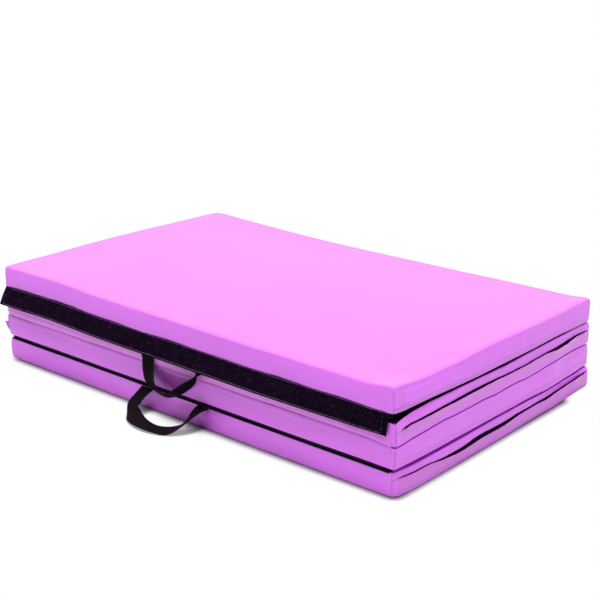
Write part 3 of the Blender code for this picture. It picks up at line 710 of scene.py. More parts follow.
def make_guard(number):
    """From the sewn edge to the lip, the wall's own form carried on over the zip and tilted out by an
    S curve times the standoff. The lip curls a little, and every other edge sinks into the wall."""
    front = ZIP_FRONT - SLIT_AHEAD[number] - GUARD_OVERRUN
    rows = np.linspace(front, ZIP_BACK + GUARD_OVERRUN / 2, GUARD_ROWS)
    shares = np.linspace(0, 1, GUARD_ACROSS)
    y, share = [grid.ravel() for grid in np.meshgrid(rows, shares, indexing="ij")]
    lip = along_wall(LIP_LEVEL[number], y) + waves(np.stack([y, y, y], 1), *LIP_WAVE, 40 + number)
    level = GUARD_SEWN + share * (ZIP_LEVEL + lip - GUARD_SEWN)
    up = JOINING_UP[number]
    flat = np.stack([np.full_like(y, HALF_X), y, up * np.minimum(level, ZIP_LEVEL - GUARD_FREE)], 1)
    wall, out = rounded(flat)
    base = swell(number, flat, out)
    standoff = along_wall(LIP_STANDOFF[number], y)
    standoff += waves(flat, *STANDOFF_WAVE, 50 + number) + waves(flat, *STANDOFF_RIPPLE, 60 + number)

    def between_ends(front, back):
        return smooth_step(y, rows[0], rows[0] + front) * (1 - smooth_step(y, rows[-1] - back, rows[-1]))

    tuck = between_ends(*GUARD_TUCKS) * smooth_step(share, 0, 0.2)
    tilt = smooth_step(share, 0.2, 1.35) / smooth_step(1.0, 0.2, 1.35) + 0.12 * share ** 12
    tilt *= between_ends(*GUARD_RISES)
    reach = base + GUARD_SUNK * (2 * tuck - 1) + np.maximum(standoff - base, GUARD_OFF) * tilt
    local = np.stack([wall[:, 0] + reach, y, up * level], 1)
    local = settle(number, local, local)
    # The hem's line, in painted shade
    hem = HEM_SHADE * bump((1 - share) * ZIP_FROM_FACE - HEM_FROM_LIP, HEM_WIDTH)
    quads = sheet_grid(GUARD_ROWS, GUARD_ACROSS)
    guard = make_mesh(f"zip_guard_{number}", in_world(number, local), quads, seam=hem)
    thicken(guard, GUARD_THICKNESS)
    guard.data.materials.append(shaded_guard_vinyl if number in (2, 4) else vinyl)
    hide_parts(f"panel_{number}_zip_guard")
    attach(guard, f"panel_{number}")


# The vinyl in painted shade, for the guards of panels 2 and 4
shaded_guard_vinyl = make_vinyl("pvc_vinyl_in_painted_shade", SHADED_VINYL, SHADED_VINYL_PALE, SHADED_VINYL)
for number in PANELS:
    make_guard(number)

# The hinge strips: a vinyl band over each fold, sewn and heat-bonded to both walls with its edges
# pared thin, so that only the crease at the fold shows, in painted shade, and on the front one the upper
# half's paler tone, a painted highlight.
HINGE_HALF = 14 * MM
HINGE_REST = 8.5 * MM
HINGE_THICKNESS = 0.6 * MM
HINGE_LENGTH = HALF_X - 10 * MM
CREASE_DEPTH = 1.3 * MM
CREASE_WIDTH = 2.4 * MM
CREASE_WANDER = (300 * MM, 1.2 * MM)
CREASE_UNEVEN = (60 * MM, 0.3)
# Painted shade along the crease: how deep its colour is, and its width
CREASE_SHADE = 0.4
CREASE_SHADE_WIDTH = 2.5 * MM
HINGE_EDGE = 5.5 * MM
HINGE_ROWS_ON_WALL = 5
HINGE_ROWS_FREE = 19
HINGE_ALONG = 260
# The painted highlight over the front fold, how much of it there is at the left, and how much less at the
# right
HINGE_PAINTED_HIGHLIGHT = "#EC84F0"
HINGE_HIGHLIGHT = 0.9
HINGE_HIGHLIGHT_LOST = 0.5
HINGE_HIGHLIGHT_EDGE = 3 * MM
# Each fold's joint, its lower and upper panel, and the side of the mat that it is on
FOLDS = {"34": (4, 3, 1), "23": (3, 2, -1), "12": (2, 1, 1)}


def joint_place(name):
    """Where one of the frame's joints is."""
    return np.array(next(joint for joint in frame["joints"] if joint["name"] == name)["pos_m"])


def make_hinge_strip(fold, lower, upper, side):
    """Rows run along the fold. Off the fold they lie on the two walls; between these they run
    straight from wall to wall, less a bell-shaped crease that wanders a little."""
    x = np.linspace(-HINGE_LENGTH, HINGE_LENGTH, HINGE_ALONG)
    across = np.concatenate([np.linspace(-HINGE_HALF, -HINGE_REST, HINGE_ROWS_ON_WALL),
                             np.linspace(-HINGE_REST, HINGE_REST, HINGE_ROWS_FREE)[1:-1],
                             np.linspace(HINGE_REST, HINGE_HALF, HINGE_ROWS_ON_WALL)])
    fold_z = joint_place(f"fold_{fold}")[2]

    def on_wall(number, rise):
        lift = HINGE_THICKNESS * (smooth_step(HINGE_HALF - abs(rise), 0, HINGE_EDGE) - 0.5)
        z = fold_z + rise - cover_middle(number)[2] + side * HALF_Y * math.sin(LEAN[number])
        flat = np.stack([x, np.full_like(x, side * HALF_Y), np.clip(z, -HALF_Z, HALF_Z) + 0 * x], 1)
        return on_cover(number, flat, lift)[0]

    lower_edge, upper_edge = on_wall(lower, -HINGE_REST), on_wall(upper, HINGE_REST)
    rows = []
    for rise in across:
        if rise <= -HINGE_REST:
            rows.append(on_wall(lower, rise))
        elif rise >= HINGE_REST:
            rows.append(on_wall(upper, rise))
        else:
            share = (rise + HINGE_REST) / (2 * HINGE_REST)
            row = lower_edge * (1 - share) + upper_edge * share
            wander = waves(row, *CREASE_WANDER, 70 + lower)
            depth = CREASE_DEPTH * bump(rise - wander, CREASE_WIDTH)
            row[:, 1] -= side * depth * (1 + waves(row, *CREASE_UNEVEN, 80 + lower))
            rows.append(row)
    points = np.concatenate(rows)
    rise = np.repeat(across, len(x))
    # Painted shade along the crease
    seam = CREASE_SHADE * bump(rise, CREASE_SHADE_WIDTH)
    # Painted highlight on the front strip's upper half, less towards the right
    tone = HINGE_HIGHLIGHT - HINGE_HIGHLIGHT_LOST * smooth_step(points[:, 0], 200 * MM, HALF_X)
    band = (fold == "23") * smooth_step(rise, 0, HINGE_HIGHLIGHT_EDGE) * tone
    strip = make_mesh(f"hinge_{fold}", points, sheet_grid(len(across), len(x)), seam=seam, band=band)
    thicken(strip, HINGE_THICKNESS)
    strip.data.materials.append(hinge_vinyl)
    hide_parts(f"hinge_strip_{fold}")
    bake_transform(strip)


hinge_vinyl = make_vinyl("hinge_pvc_vinyl", VINYL, VINYL_PALE, HINGE_PAINTED_HIGHLIGHT)
for fold, (lower, upper, side) in FOLDS.items():
    make_hinge_strip(fold, lower, upper, side)

# The front strip's left end: vinyl like the rest of it, cut long and not sewn down, so that its loose
# corner stands out past panel 3 as a small ear, darkened all over by painted shade.
EAR = np.array([(-596, -381.5, 96), (-616.5, -383, 96.5), (-625, -384, 95), (-620, -383.5, 84),
                (-616, -382, 75), (-596, -381.5, 74)]) * MM
EAR_MIDDLE = np.array((-606, -382, 88)) * MM
# How deep the painted shade over the ear is
EAR_PAINTED_SHADE = 0.7


def make_ear():
    """A fan of thin triangles round the middle, thickened like the strip."""
    points = np.concatenate([EAR, [EAR_MIDDLE]])
    index = np.arange(len(EAR))
    fan = np.stack([index, np.roll(index, -1), np.full(len(EAR), len(EAR))], 1)
    ear = make_mesh("hinge_ear_23", points, fan, seam=np.full(len(points), EAR_PAINTED_SHADE))
    thicken(ear, HINGE_THICKNESS)
    ear.data.materials.append(vinyl)
    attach(ear, "panel_3")


make_ear()

# The black bindings: coated nylon cloth folded round the front edge of the two free ends and sewn
# through. They hold the flap and the ends of the webbing.
BINDING_THICKNESS = 1.0 * MM
BINDING_ON_WALL = {1: 0.5 * MM, 4: 2 * MM}
BINDING_ON_FACE = 22 * MM
BINDING_END = 8 * MM
# Cloth sewn on a cover stands this far off it, so that the two never share a face
OFF_COVER = 0.3 * MM
BINDING_HEM = 1.5 * MM
BLACK = "#08030A"
BLACK_WORN = "#0F0812"
# Real pack cloth has a thread every half millimetre, too fine to show, so it is drawn coarser
CLOTH_WEAVE = 10.05 * MM
# Noise scale of its worn patches, each about 40 mm wide
CLOTH_PATCHES = 25.0
THREAD = "#A68AC0"
THREAD_DARK = "#6E5484"
# The yarn's twist, under a millimetre long, is far too fine to show: drawn over two or three stitches
THREAD_TWIST = 10.05 * MM
STITCH_PITCH = 4.2 * MM
STITCH_HALF = np.array([1.5, 0.38, 0.3]) * MM


def crossed_bands(tree, place, bands, operation="MULTIPLY", distortion=0.0):
    """The height of two sets of bands laid over each other, as threads are in a weave. bands has
    each set's direction, and how far apart its bands are."""
    sets = [add(tree, "TexWave", {"Vector": place, "Scale": WAVE_BAND / apart, "Distortion": distortion},
                bands_direction=direction).outputs["Fac"] for direction, apart in bands.items()]
    return add(tree, "Math", dict(enumerate(sets)), operation=operation).outputs["Value"]


def make_black_cloth():
    """Nylon pack cloth with a PU coat: nearly black with a violet cast, plain-woven, dull."""
    material, tree, shader = new_material("coated_black_nylon", IOR=1.5, Specular_IOR_Level=0.03)
    place = add(tree, "TexCoord").outputs["Object"]
    weave = crossed_bands(tree, place, {"X": CLOTH_WEAVE, "Z": CLOTH_WEAVE})
    cloud = add(tree, "TexNoise", {"Vector": place, "Scale": CLOTH_PATCHES, "Detail": 3.0})
    shade = add(tree, "Mix", {"Factor": cloud.outputs["Fac"], "A": BLACK, "B": BLACK_WORN},
                data_type="RGBA")
    bumps = add(tree, "Bump", {"Height": weave, "Distance": 0.15 * MM, "Strength": 0.6})
    gloss = add(tree, "MapRange", {"Value": cloud.outputs["Fac"], "To Min": 0.6, "To Max": 0.72})
    feed(tree, shader, Base_Color=shade.outputs["Result"], Roughness=gloss.outputs["Result"],
         Normal=bumps.outputs["Normal"])
    return material


def make_thread():
    """Spun polyester sewing thread, violet grey and matt, its tone changing with the yarn's twist."""
    material, tree, shader = new_material("spun_polyester_thread", Roughness=0.75, IOR=1.5)
    place = add(tree, "TexCoord").outputs["Object"]
    twist = add(tree, "TexWave", {"Vector": place, "Scale": 2 * WAVE_BAND / THREAD_TWIST},
                bands_direction="DIAGONAL")
    shade = add(tree, "Mix", {"Factor": twist.outputs["Fac"], "A": THREAD_DARK, "B": THREAD},
                data_type="RGBA")
    feed(tree, shader, Base_Color=shade.outputs["Result"])
    return material


black_cloth = make_black_cloth()
thread = make_thread()


def lengths_along(path):
    """How far along a path each of its points is."""
    return np.concatenate([[0], np.cumsum(np.linalg.norm(np.diff(path, axis=0), axis=1))])


def square_to(along, vectors):
    """The vectors less what of them runs along, one long."""
    vectors = vectors - along * (vectors * along).sum(1)[:, None]
    return vectors / np.linalg.norm(vectors, axis=1)[:, None]


def stitch_line(path, up):
    """Stitches along a path: small rounded blocks at every pitch of its length, half sunk in."""
    length = lengths_along(path)
    where = np.arange(STITCH_PITCH / 2, length[-1], STITCH_PITCH)

    def at(lengths, values):
        return np.stack([np.interp(lengths, length, values[:, i]) for i in range(3)], 1)

    along = at(where + 0.5 * MM, path) - at(where - 0.5 * MM, path)
    along /= np.linalg.norm(along, axis=1)[:, None]
    normals = square_to(along, at(where, np.broadcast_to(up, path.shape)))
    return copies(*rounded_block(STITCH_HALF), at(where, path), along, normals)


def make_stitching(name, lines, body):
    """One body's stitch lines as one piece."""
    points, quads = joined(*lines)
    made = make_mesh(name, points, quads)
    made.data.materials.append(thread)
    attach(made, body)
    return made


def make_binding(number, side_up):
    """Over the front edge: from a little down the wall, round, and in over the face, the cover's own
    form carried out by the cloth's thickness, with a line of stitches near the edge."""
    x = np.linspace(BINDING_END - HALF_X, HALF_X - BINDING_END, 200)
    climb = np.linspace(HALF_Z - BINDING_ON_WALL[number], HALF_Z, 8)
    reach = np.linspace(0, BINDING_ON_FACE, 12)[1:]
    z = np.concatenate([climb, np.full(len(reach), HALF_Z)]) * side_up
    y = np.concatenate([np.zeros(len(climb)), reach]) - HALF_Y
    flat = np.stack([np.tile(x, len(y)), np.repeat(y, len(x)), np.repeat(z, len(x))], 1)
    points, _ = on_cover(number, flat, OFF_COVER + BINDING_THICKNESS / 2)
    binding = make_mesh(f"binding_{number}", points, sheet_grid(len(y), len(x)))
    thicken(binding, BINDING_THICKNESS)
    binding.data.materials.append(black_cloth)
    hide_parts(f"end_binding_{number}")
    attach(binding, f"panel_{number}")
    seam = np.stack([x, np.full_like(x, -HALF_Y), np.full_like(x, side_up * (HALF_Z - BINDING_HEM))], 1)
    path, up = on_cover(number, seam, OFF_COVER + BINDING_THICKNESS)
    make_stitching(f"binding_stitching_{number}", [stitch_line(path, up)], f"panel_{number}")


make_binding(1, -1)
make_binding(4, 1)

# A tape of the black cloth is sewn flat along the right-hand edge of panel 2's upper face. It is
# broad, with a line of stitches, at the front corner, where the gap under panel 1 lets it be seen.
# Behind the corner it runs on narrow to the back as a black strip of painted shade, darkening the gap.
EDGE_TAPE_LENGTH = 742 * MM
EDGE_TAPE_WIDTH = 46 * MM
EDGE_TAPE_BROAD = 135 * MM
EDGE_TAPE_HEM = 3.2 * MM
# Its width at the back, as a share of that in front
EDGE_TAPE_NARROW = 0.22
# Its outer edge: how far in from the wall's edge in front, how much further at the back, and its waves
EDGE_TAPE_IN = 1.5 * MM
EDGE_TAPE_DRAWN = 1.6 * MM
EDGE_TAPE_WAVE = (50 * MM, 0.6 * MM)


def make_edge_tape_and_gap_shade():
    """Across, from deep in the gap out to the wall's edge; along, from the front back. Its inner
    edge comes outwards until it is a tape, and its outer edge wanders and draws in a little."""
    y, share = np.meshgrid(np.linspace(0.5 * MM, EDGE_TAPE_LENGTH, 260), np.linspace(0, 1, 20), indexing="ij")
    # Behind the front corner the narrowed tape stands for the gap's shade: painted shade
    width = EDGE_TAPE_WIDTH * (1 - (1 - EDGE_TAPE_NARROW) * smooth_step(y, 30 * MM, EDGE_TAPE_BROAD))
    wander = waves(np.stack([y, 0 * y, 0 * y], -1).reshape(-1, 3), *EDGE_TAPE_WAVE, 95).reshape(y.shape)
    edge = EDGE_TAPE_IN + wander + EDGE_TAPE_DRAWN * smooth_step(y, 80 * MM, 250 * MM)
    x = HALF_X - edge - width * (1 - share)
    flat = np.stack([x, y - HALF_Y, np.full_like(x, HALF_Z)], -1).reshape(-1, 3)
    points, _ = on_cover(2, flat, OFF_COVER + BINDING_THICKNESS / 2)
    tape = make_mesh("edge_tape_and_gap_shade_2", points, sheet_grid(*y.shape))
    thicken(tape, BINDING_THICKNESS)
    tape.data.materials.append(black_cloth)
    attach(tape, "panel_2")
    seam = (flat.reshape(*y.shape, 3)[:, -1] - (EDGE_TAPE_HEM, 0, 0))[y[:, 0] < EDGE_TAPE_BROAD]
    path, up = on_cover(2, seam, OFF_COVER + BINDING_THICKNESS)
    make_stitching("edge_tape_stitching", [stitch_line(path, up)], "panel_2")


make_edge_tape_and_gap_shade()

# End flap 1: a strip of the black cloth, sewn under the top panel's front edge and hanging clear of
# the wall. A 50 mm loop tape is sewn on its outer face, with a light-grey lockstitch all round.
FLAP_THICKNESS = 1.2 * MM
FLAP_LENGTH_LEFT = -5 * MM - HALF_X
FLAP_LENGTH_RIGHT = HALF_X - 9 * MM
# At the right its uppermost part runs on by the first of these, down to the second
FLAP_STEP = 10 * MM
FLAP_STEP_FROM = 11 * MM
FLAP_HEM = 1.5 * MM
TAPE_WIDTH = 47 * MM
FLAP_WIDTH = TAPE_WIDTH + 2 * FLAP_HEM
FLAP_TUCK = 4.4 * MM
FLAP_HANG = math.radians(31)
FLAP_HANG_RIGHT = math.radians(14)
FLAP_BOW = 1.2 * MM
FLAP_WAVE = (330 * MM, 1.8 * MM)
flap_root = joint_place("flap_1_swing")


def flap_point(x, hang, lift):
    """Down the flap from its root by hang, and lift out from its middle. The sheet leans out at the
    hang angle, less so towards the right, bows a little, and its free edge waves."""
    free = np.clip(hang / FLAP_WIDTH, 0, 1)
    spots = np.stack([x, 0 * x, 0 * x], -1).reshape(-1, 3)
    wave = waves(spots, *FLAP_WAVE, 90).reshape(x.shape) * free ** 2
    bow = FLAP_BOW * np.sin(math.pi * free) + wave + lift
    angle = FLAP_HANG + (FLAP_HANG_RIGHT - FLAP_HANG) * smooth_step(x, 200 * MM, HALF_X)
    y = flap_root[1] - hang * np.sin(angle) - bow * np.cos(angle)
    z = flap_root[2] + FLAP_TUCK - along_front(FRONT_DROP, x) - hang * np.cos(angle) + bow * np.sin(angle)
    return np.stack([x, y, z], -1)


def make_flap_1():
    """The hanging sheet. Its right end is cut in a step: the top of it runs on to the corner."""
    share, hang = np.meshgrid(np.linspace(0, 1, 240), np.linspace(0, FLAP_WIDTH, 40), indexing="ij")
    right = FLAP_LENGTH_RIGHT + FLAP_STEP * (1 - smooth_step(hang, FLAP_STEP_FROM, FLAP_STEP_FROM + 4 * MM))
    x = FLAP_LENGTH_LEFT + (right - FLAP_LENGTH_LEFT) * share
    flap = make_mesh("flap_1", flap_point(x, hang, 0).reshape(-1, 3), sheet_grid(*x.shape))
    thicken(flap, FLAP_THICKNESS)
    flap.data.materials.append(black_cloth)
    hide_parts("end_flap_1")
    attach(flap, "end_flap_1")
    return flap


flap_1 = make_flap_1()

# The loop tape on it is a closed band with a brushed pile, held by a row of stitches along each edge
# and one across each end.
TAPE_END_MARGIN = 10.5 * MM
TAPE_INSET = 2.2 * MM
TAPE_OFF_FLAP = 0.1 * MM
PILE = 1.6 * MM
PILE_FLUFF = 0.16 * MM
# The stitches draw a furrow into the pile: its place from the edge, its width and its depth
FURROW_AT = 2 * MM
FURROW_WIDTH = 1.2 * MM
FURROW_DEPTH = 0.5 * MM
STITCH_SUNK = 0.35 * MM
PILE_TUFT = 2.6 * MM
PILE_CURL = 7 * MM
PILE_BLACK = "#0D0412"
PILE_ENDS = "#352140"


def make_pile():
    """Loop tape, nylon, knitted and brushed: black, very matt, with grey ends of loops in it."""
    material, tree, shader = new_material("brushed_loop_tape", Roughness=0.95, IOR=1.5,
                                          Specular_IOR_Level=0.02)
    place = add(tree, "TexCoord").outputs["Object"]
    tuft = add(tree, "TexNoise", {"Vector": place, "Scale": 1 / PILE_TUFT, "Detail": 4.0, "Roughness": 0.7})
    curl = add(tree, "TexNoise", {"Vector": place, "Scale": 1 / PILE_CURL, "Detail": 5.0, "Distortion": 2.5})
    ends = add(tree, "MapRange", {"Value": curl.outputs["Fac"], "From Min": 0.54, "From Max": 0.74})
    shade = add(tree, "Mix", {"Factor": ends.outputs["Result"], "A": PILE_BLACK, "B": PILE_ENDS},
                data_type="RGBA")
    bumps = add(tree, "Bump", {"Height": tuft.outputs["Fac"], "Distance": 0.6 * MM, "Strength": 0.9})
    feed(tree, shader, Base_Color=shade.outputs["Result"], Normal=bumps.outputs["Normal"])
    return material


pile = make_pile()


def make_loop_tape():
    """A closed strip on the flap's outer face, its pile's height uneven at random, and its stitches."""
    start, end = FLAP_LENGTH_LEFT + TAPE_END_MARGIN, FLAP_LENGTH_RIGHT - TAPE_END_MARGIN
    xs = np.linspace(start, end, 560)
    hangs = np.linspace(FLAP_HEM, FLAP_HEM + TAPE_WIDTH, 26)
    flat, quads = box_skin(xs, hangs, np.array([0.0, 1.0]))
    random = np.random.default_rng(5)
    fluff = random.normal(0, PILE_FLUFF, len(flat)) * flat[:, 2]
    edge = np.minimum(flat[:, 1] - FLAP_HEM, FLAP_HEM + TAPE_WIDTH - flat[:, 1])
    sunk = FURROW_DEPTH * bump(edge - FURROW_AT, FURROW_WIDTH) * flat[:, 2]
    base = FLAP_THICKNESS / 2 + TAPE_OFF_FLAP
    points = flap_point(flat[:, 0], flat[:, 1], base + flat[:, 2] * PILE + fluff - sunk)
    tape = make_mesh("loop_tape", points, quads)
    tape.data.materials.append(pile)
    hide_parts("loop_strip")
    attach(tape, "end_flap_1")
    height = base + PILE - STITCH_SUNK
    run = np.linspace(start + TAPE_INSET, end - TAPE_INSET, 500)
    fall = np.linspace(FLAP_HEM + TAPE_INSET, FLAP_HEM + TAPE_WIDTH - TAPE_INSET, 30)
    out = np.array([0, -math.cos(FLAP_HANG), math.sin(FLAP_HANG)])
    paths = [flap_point(run, np.full_like(run, hang), height) for hang in (fall[0], fall[-1])]
    paths += [flap_point(np.full_like(fall, x), fall, height) for x in (run[0], run[-1])]
    lines = [stitch_line(path, out) for path in paths]
    return tape, make_stitching("loop_tape_stitching", lines, "end_flap_1")


loop_tape, tape_stitching = make_loop_tape()
for soft in (flap_1, loop_tape, tape_stitching):
    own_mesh(soft)

# End flap 4: the same flap on the bottom panel, tucked in flat over it, with the hook tape sewn to it.
# Only its edge shows between panels 3 and 4.
FLAP_4_CLIMB = 5 * MM
# Real hooks stand 1.8 mm apart along the tape and 2.4 mm across, too fine to show: drawn coarser
HOOKS_ALONG = 11.31 * MM
HOOKS_ACROSS = 15.08 * MM
HOOK_DARK = "#0F0A12"
HOOK_LIGHT = "#2B2530"


def make_hooks():
    """Hook tape, nylon monofilament, woven and cut: black, with rows of glossy stiff hooks."""
    material, tree, shader = new_material("cut_hook_tape", Roughness=0.5, IOR=1.53)
    place = add(tree, "TexCoord").outputs["Object"]
    hooks = crossed_bands(tree, place, {"X": HOOKS_ALONG, "Y": HOOKS_ACROSS}, distortion=1.0)
    shade = add(tree, "Mix", {"Factor": hooks, "A": HOOK_DARK, "B": HOOK_LIGHT}, data_type="RGBA")
    bumps = add(tree, "Bump", {"Height": hooks, "Distance": 0.5 * MM})
    feed(tree, shader, Base_Color=shade.outputs["Result"], Normal=bumps.outputs["Normal"])
    return material


def make_flap_4():
    """From the binding's edge up over the hook tape and flat inwards."""
    low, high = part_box("end_flap_4")
    x = np.linspace(low.x, high.x, 200)
    inward = np.linspace(0, high.y - low.y, 24)
    climb = smooth_step(inward, 0, FLAP_4_CLIMB)
    bottom, top = low.z + FLAP_THICKNESS / 2, high.z - FLAP_THICKNESS / 2
    xs, along = np.meshgrid(x, inward, indexing="ij")
    z = bottom + (top - bottom) * np.tile(climb, (len(x), 1))
    points = np.stack([xs, low.y + along, z], -1).reshape(-1, 3)
    flap = make_mesh("flap_4", points, sheet_grid(*xs.shape))
    thicken(flap, FLAP_THICKNESS)
    flap.data.materials.append(black_cloth)
    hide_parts("end_flap_4")
    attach(flap, "panel_4")
    hooks = frame["nodes"]["hook_strip"]
    hooks.data.materials.clear()
    hooks.data.materials.append(make_hooks())
    hook_low, hook_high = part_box("hook_strip")
    run = np.linspace(hook_low.x + TAPE_INSET, hook_high.x - TAPE_INSET, 400)

    def straight(y, z, out):
        return stitch_line(np.stack([run, np.full_like(run, y), np.full_like(run, z)], 1), out)

    lines = [straight(y, top + FLAP_THICKNESS / 2, (0, 0, 1))
             for y in (hook_low.y + TAPE_INSET, hook_high.y - TAPE_INSET)]
    lines.append(straight(low.y - 0.3 * MM, bottom + 1 * MM, (0, -1, 0)))
    make_stitching("flap_4_stitching", lines, "panel_4")


make_flap_4()

# The handles: 38 mm polypropylene webbing, one strap on each free end, its two ends sewn under the
# binding. The upper one hangs and twists below the flap; the lower one lies out on the floor.
WEBBING_HALF = 19 * MM
WEBBING_THICKNESS = 1.8 * MM
HANDLE_CENTRE = -12 * MM
HANDLE_HALF_SPAN = 90.5 * MM
WEBBING_RINGS = 240
WEBBING_ROUND = 40
# Real webbing has a rib every millimetre and cables 2 mm wide, too fine to show: drawn coarser
WEBBING_RIB = 13.82 * MM
WEBBING_CABLE = 22.12 * MM
# Noise scale of its faded patches, each about 17 mm wide
WEBBING_PATCHES = 60.0
WEBBING_BLACK = "#0A040B"
WEBBING_FADED = "#180E17"
# Routes in millimetres: x from the handle's middle, y from the front wall, z from the floor, and the
# direction of the webbing's width. The ends come from the joints.
HANDLE_1_ROUTE = [
    ((-90.4, -3.5, 172), (1, 0, 0)),
    ((-87.5, -4.5, 152), (1, 0, 0.08)),
    ((-83, -4.5, 127), (1, 0, 0.2)),
    ((-76.8, -9.9, 104.9), (0.91, 0.08, 0.41)),
    ((-63.9, -18, 88.8), (0.69, 0.04, 0.72)),
    ((-40.7, -23.9, 73.3), (0.3, -0.42, 0.86)),
    ((-11.5, -29.5, 65.5), (0, -0.7, 0.71)),
    ((19.9, -28.4, 71.7), (-0.1, -0.9, 0.42)),
    ((46.1, -26.4, 89.8), (-0.22, -0.92, 0.32)),
    ((69.9, -25, 109.5), (-0.1, -0.95, 0.3)),
    ((81.5, -19.3, 125), (0.35, -0.93, 0.15)),
    ((86.7, -11.5, 138.5), (0.88, -0.47, 0)),
    ((89.3, -6.5, 154), (0.99, -0.12, 0)),
    ((90.5, -3, 174), (1, 0, 0)),
]
HANDLE_4_ROUTE = [
    ((-91, -25, 40), (1, 0, 0.1)),
    ((-88, -47, 29), (0.95, 0.22, 0.2)),
    ((-79, -62, 17), (0.7, 0.3, 0.6)),
    ((-62, -73, 11), (0.3, 0.87, 0.38)),
    ((-39, -81.5, 8.5), (0.08, 0.98, 0.15)),
    ((-10, -86, 7), (-0.05, 1, 0)),
    ((18, -83.5, 5.5), (-0.28, 0.96, 0)),
    ((48.3, -73, 6), (-0.45, 0.88, 0.12)),
    ((72, -58, 18), (-0.52, 0.85, -0.09)),
    ((85, -42, 35), (-0.78, 0.57, -0.25)),
    ((89.5, -20, 48), (-0.95, 0.2, -0.2)),
]


def smooth_route(points, count):
    """Evenly spaced places on the Catmull-Rom curve through the points: each span is a cubic of
    the span's two ends and their neighbours."""
    padded = np.concatenate([[2 * points[0] - points[1]], points, [2 * points[-1] - points[-2]]])
    spans = len(points) - 1
    place = np.linspace(0, spans, count)
    span = np.minimum(place.astype(int), spans - 1)
    t = (place - span)[:, None]
    a, b, c, d = (padded[span + i] for i in range(4))
    return (2 * b + (c - a) * t + (2 * a - 5 * b + 4 * c - d) * t**2 + (3 * b - a - 3 * c + d) * t**3) / 2


def make_webbing():
    """Polypropylene webbing: black, ribbed across its width and cabled along it, with a dull shine
    on the crowns of the yarns."""
    material, tree, shader = new_material("woven_polypropylene_webbing", IOR=1.49, Specular_IOR_Level=0.03)
    woven = add(tree, "UVMap", uv_map="webbing").outputs["UV"]
    weave = crossed_bands(tree, woven, {"Y": WEBBING_RIB, "X": WEBBING_CABLE}, operation="ADD")
    place = add(tree, "TexCoord").outputs["Object"]
    cloud = add(tree, "TexNoise", {"Vector": place, "Scale": WEBBING_PATCHES})
    shade = add(tree, "Mix", {"Factor": cloud.outputs["Fac"], "A": WEBBING_BLACK, "B": WEBBING_FADED},
                data_type="RGBA")
    bumps = add(tree, "Bump", {"Height": weave, "Distance": 0.3 * MM, "Strength": 0.7})
    gloss = add(tree, "MapRange", {"Value": weave, "From Max": 2.0, "To Min": 0.75, "To Max": 0.5})
    feed(tree, shader, Base_Color=shade.outputs["Result"], Roughness=gloss.outputs["Result"],
         Normal=bumps.outputs["Normal"])
    return material


webbing = make_webbing()


def make_handle(number, route, last_width):
    """A flat section with round edges carried along the route, turning with the width's direction.
    Section: a superellipse, so that faces stay flat and the selvedges are round. Its ends are closed
    by fans. The strap's own map runs across its width and along its length, in metres."""
    root = joint_place(f"handle_{number}_swing")
    ends = [np.array([HANDLE_CENTRE + side * HANDLE_HALF_SPAN, root[1], root[2]]) for side in (-1, 1)]
    if number == 1:
        for end in ends:
            end[2] -= along_front(FRONT_DROP, end[0])
    start = np.array([HANDLE_CENTRE, -HALF_Y, 0])
    middle = [start + np.array(point) * MM for point, _ in route]
    centres = smooth_route(np.array([ends[0], *middle, ends[1]]), WEBBING_RINGS)
    widths = np.array([(1, 0, 0), *[width for _, width in route], last_width], float)
    widths = smooth_route(widths / np.linalg.norm(widths, axis=1)[:, None], WEBBING_RINGS)
    along = np.gradient(centres, axis=0)
    along /= np.linalg.norm(along, axis=1)[:, None]
    widths = square_to(along, widths)
    normals = np.cross(widths, along)
    angle = np.linspace(0, 2 * math.pi, WEBBING_ROUND, endpoint=False)
    flat = np.sign(np.cos(angle)) * abs(np.cos(angle)) ** 0.55 * WEBBING_HALF
    thick = np.sign(np.sin(angle)) * abs(np.sin(angle)) ** 0.4 * WEBBING_THICKNESS / 2
    rings = centres[:, None] + widths[:, None] * flat[None, :, None] + normals[:, None] * thick[None, :, None]
    points = np.concatenate([rings.reshape(-1, 3), centres[[0, -1]]])
    index = np.arange(WEBBING_RINGS * WEBBING_ROUND).reshape(WEBBING_RINGS, WEBBING_ROUND)
    turned = np.roll(index, -1, 1)
    quads = np.stack([index[:-1], turned[:-1], turned[1:], index[1:]], -1).reshape(-1, 4)
    first, last = [np.full(WEBBING_ROUND, len(points) + place) for place in (-2, -1)]
    fans = np.concatenate([np.stack([first, turned[0], index[0]], 1),
                           np.stack([last, index[-1], turned[-1]], 1)])
    mesh = bpy.data.meshes.new(f"webbing_handle_{number}")
    mesh.from_pydata(points.tolist(), [], quads.tolist() + fans.tolist())
    mesh.shade_smooth()
    length = lengths_along(centres)
    uvs = np.stack([np.tile(flat, WEBBING_RINGS), np.repeat(length, WEBBING_ROUND)], 1)
    uvs = np.concatenate([uvs, [[0, 0], [0, length[-1]]]])
    corner = np.zeros(len(mesh.loops), np.int32)
    mesh.loops.foreach_get("vertex_index", corner)
    layer = mesh.uv_layers.new(name="webbing")
    layer.data.foreach_set("uv", uvs[corner].astype(np.float32).ravel())
    handle = bpy.data.objects.new(f"webbing_handle_{number}", mesh)
    bpy.context.scene.collection.objects.link(handle)
    handle.data.materials.append(webbing)
    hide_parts(f"handle_{number}")
    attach(handle, f"handle_{number}")
    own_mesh(handle)


make_handle(1, HANDLE_1_ROUTE, (1, 0, 0))
make_handle(4, HANDLE_4_ROUTE, (-1, 0, 0))

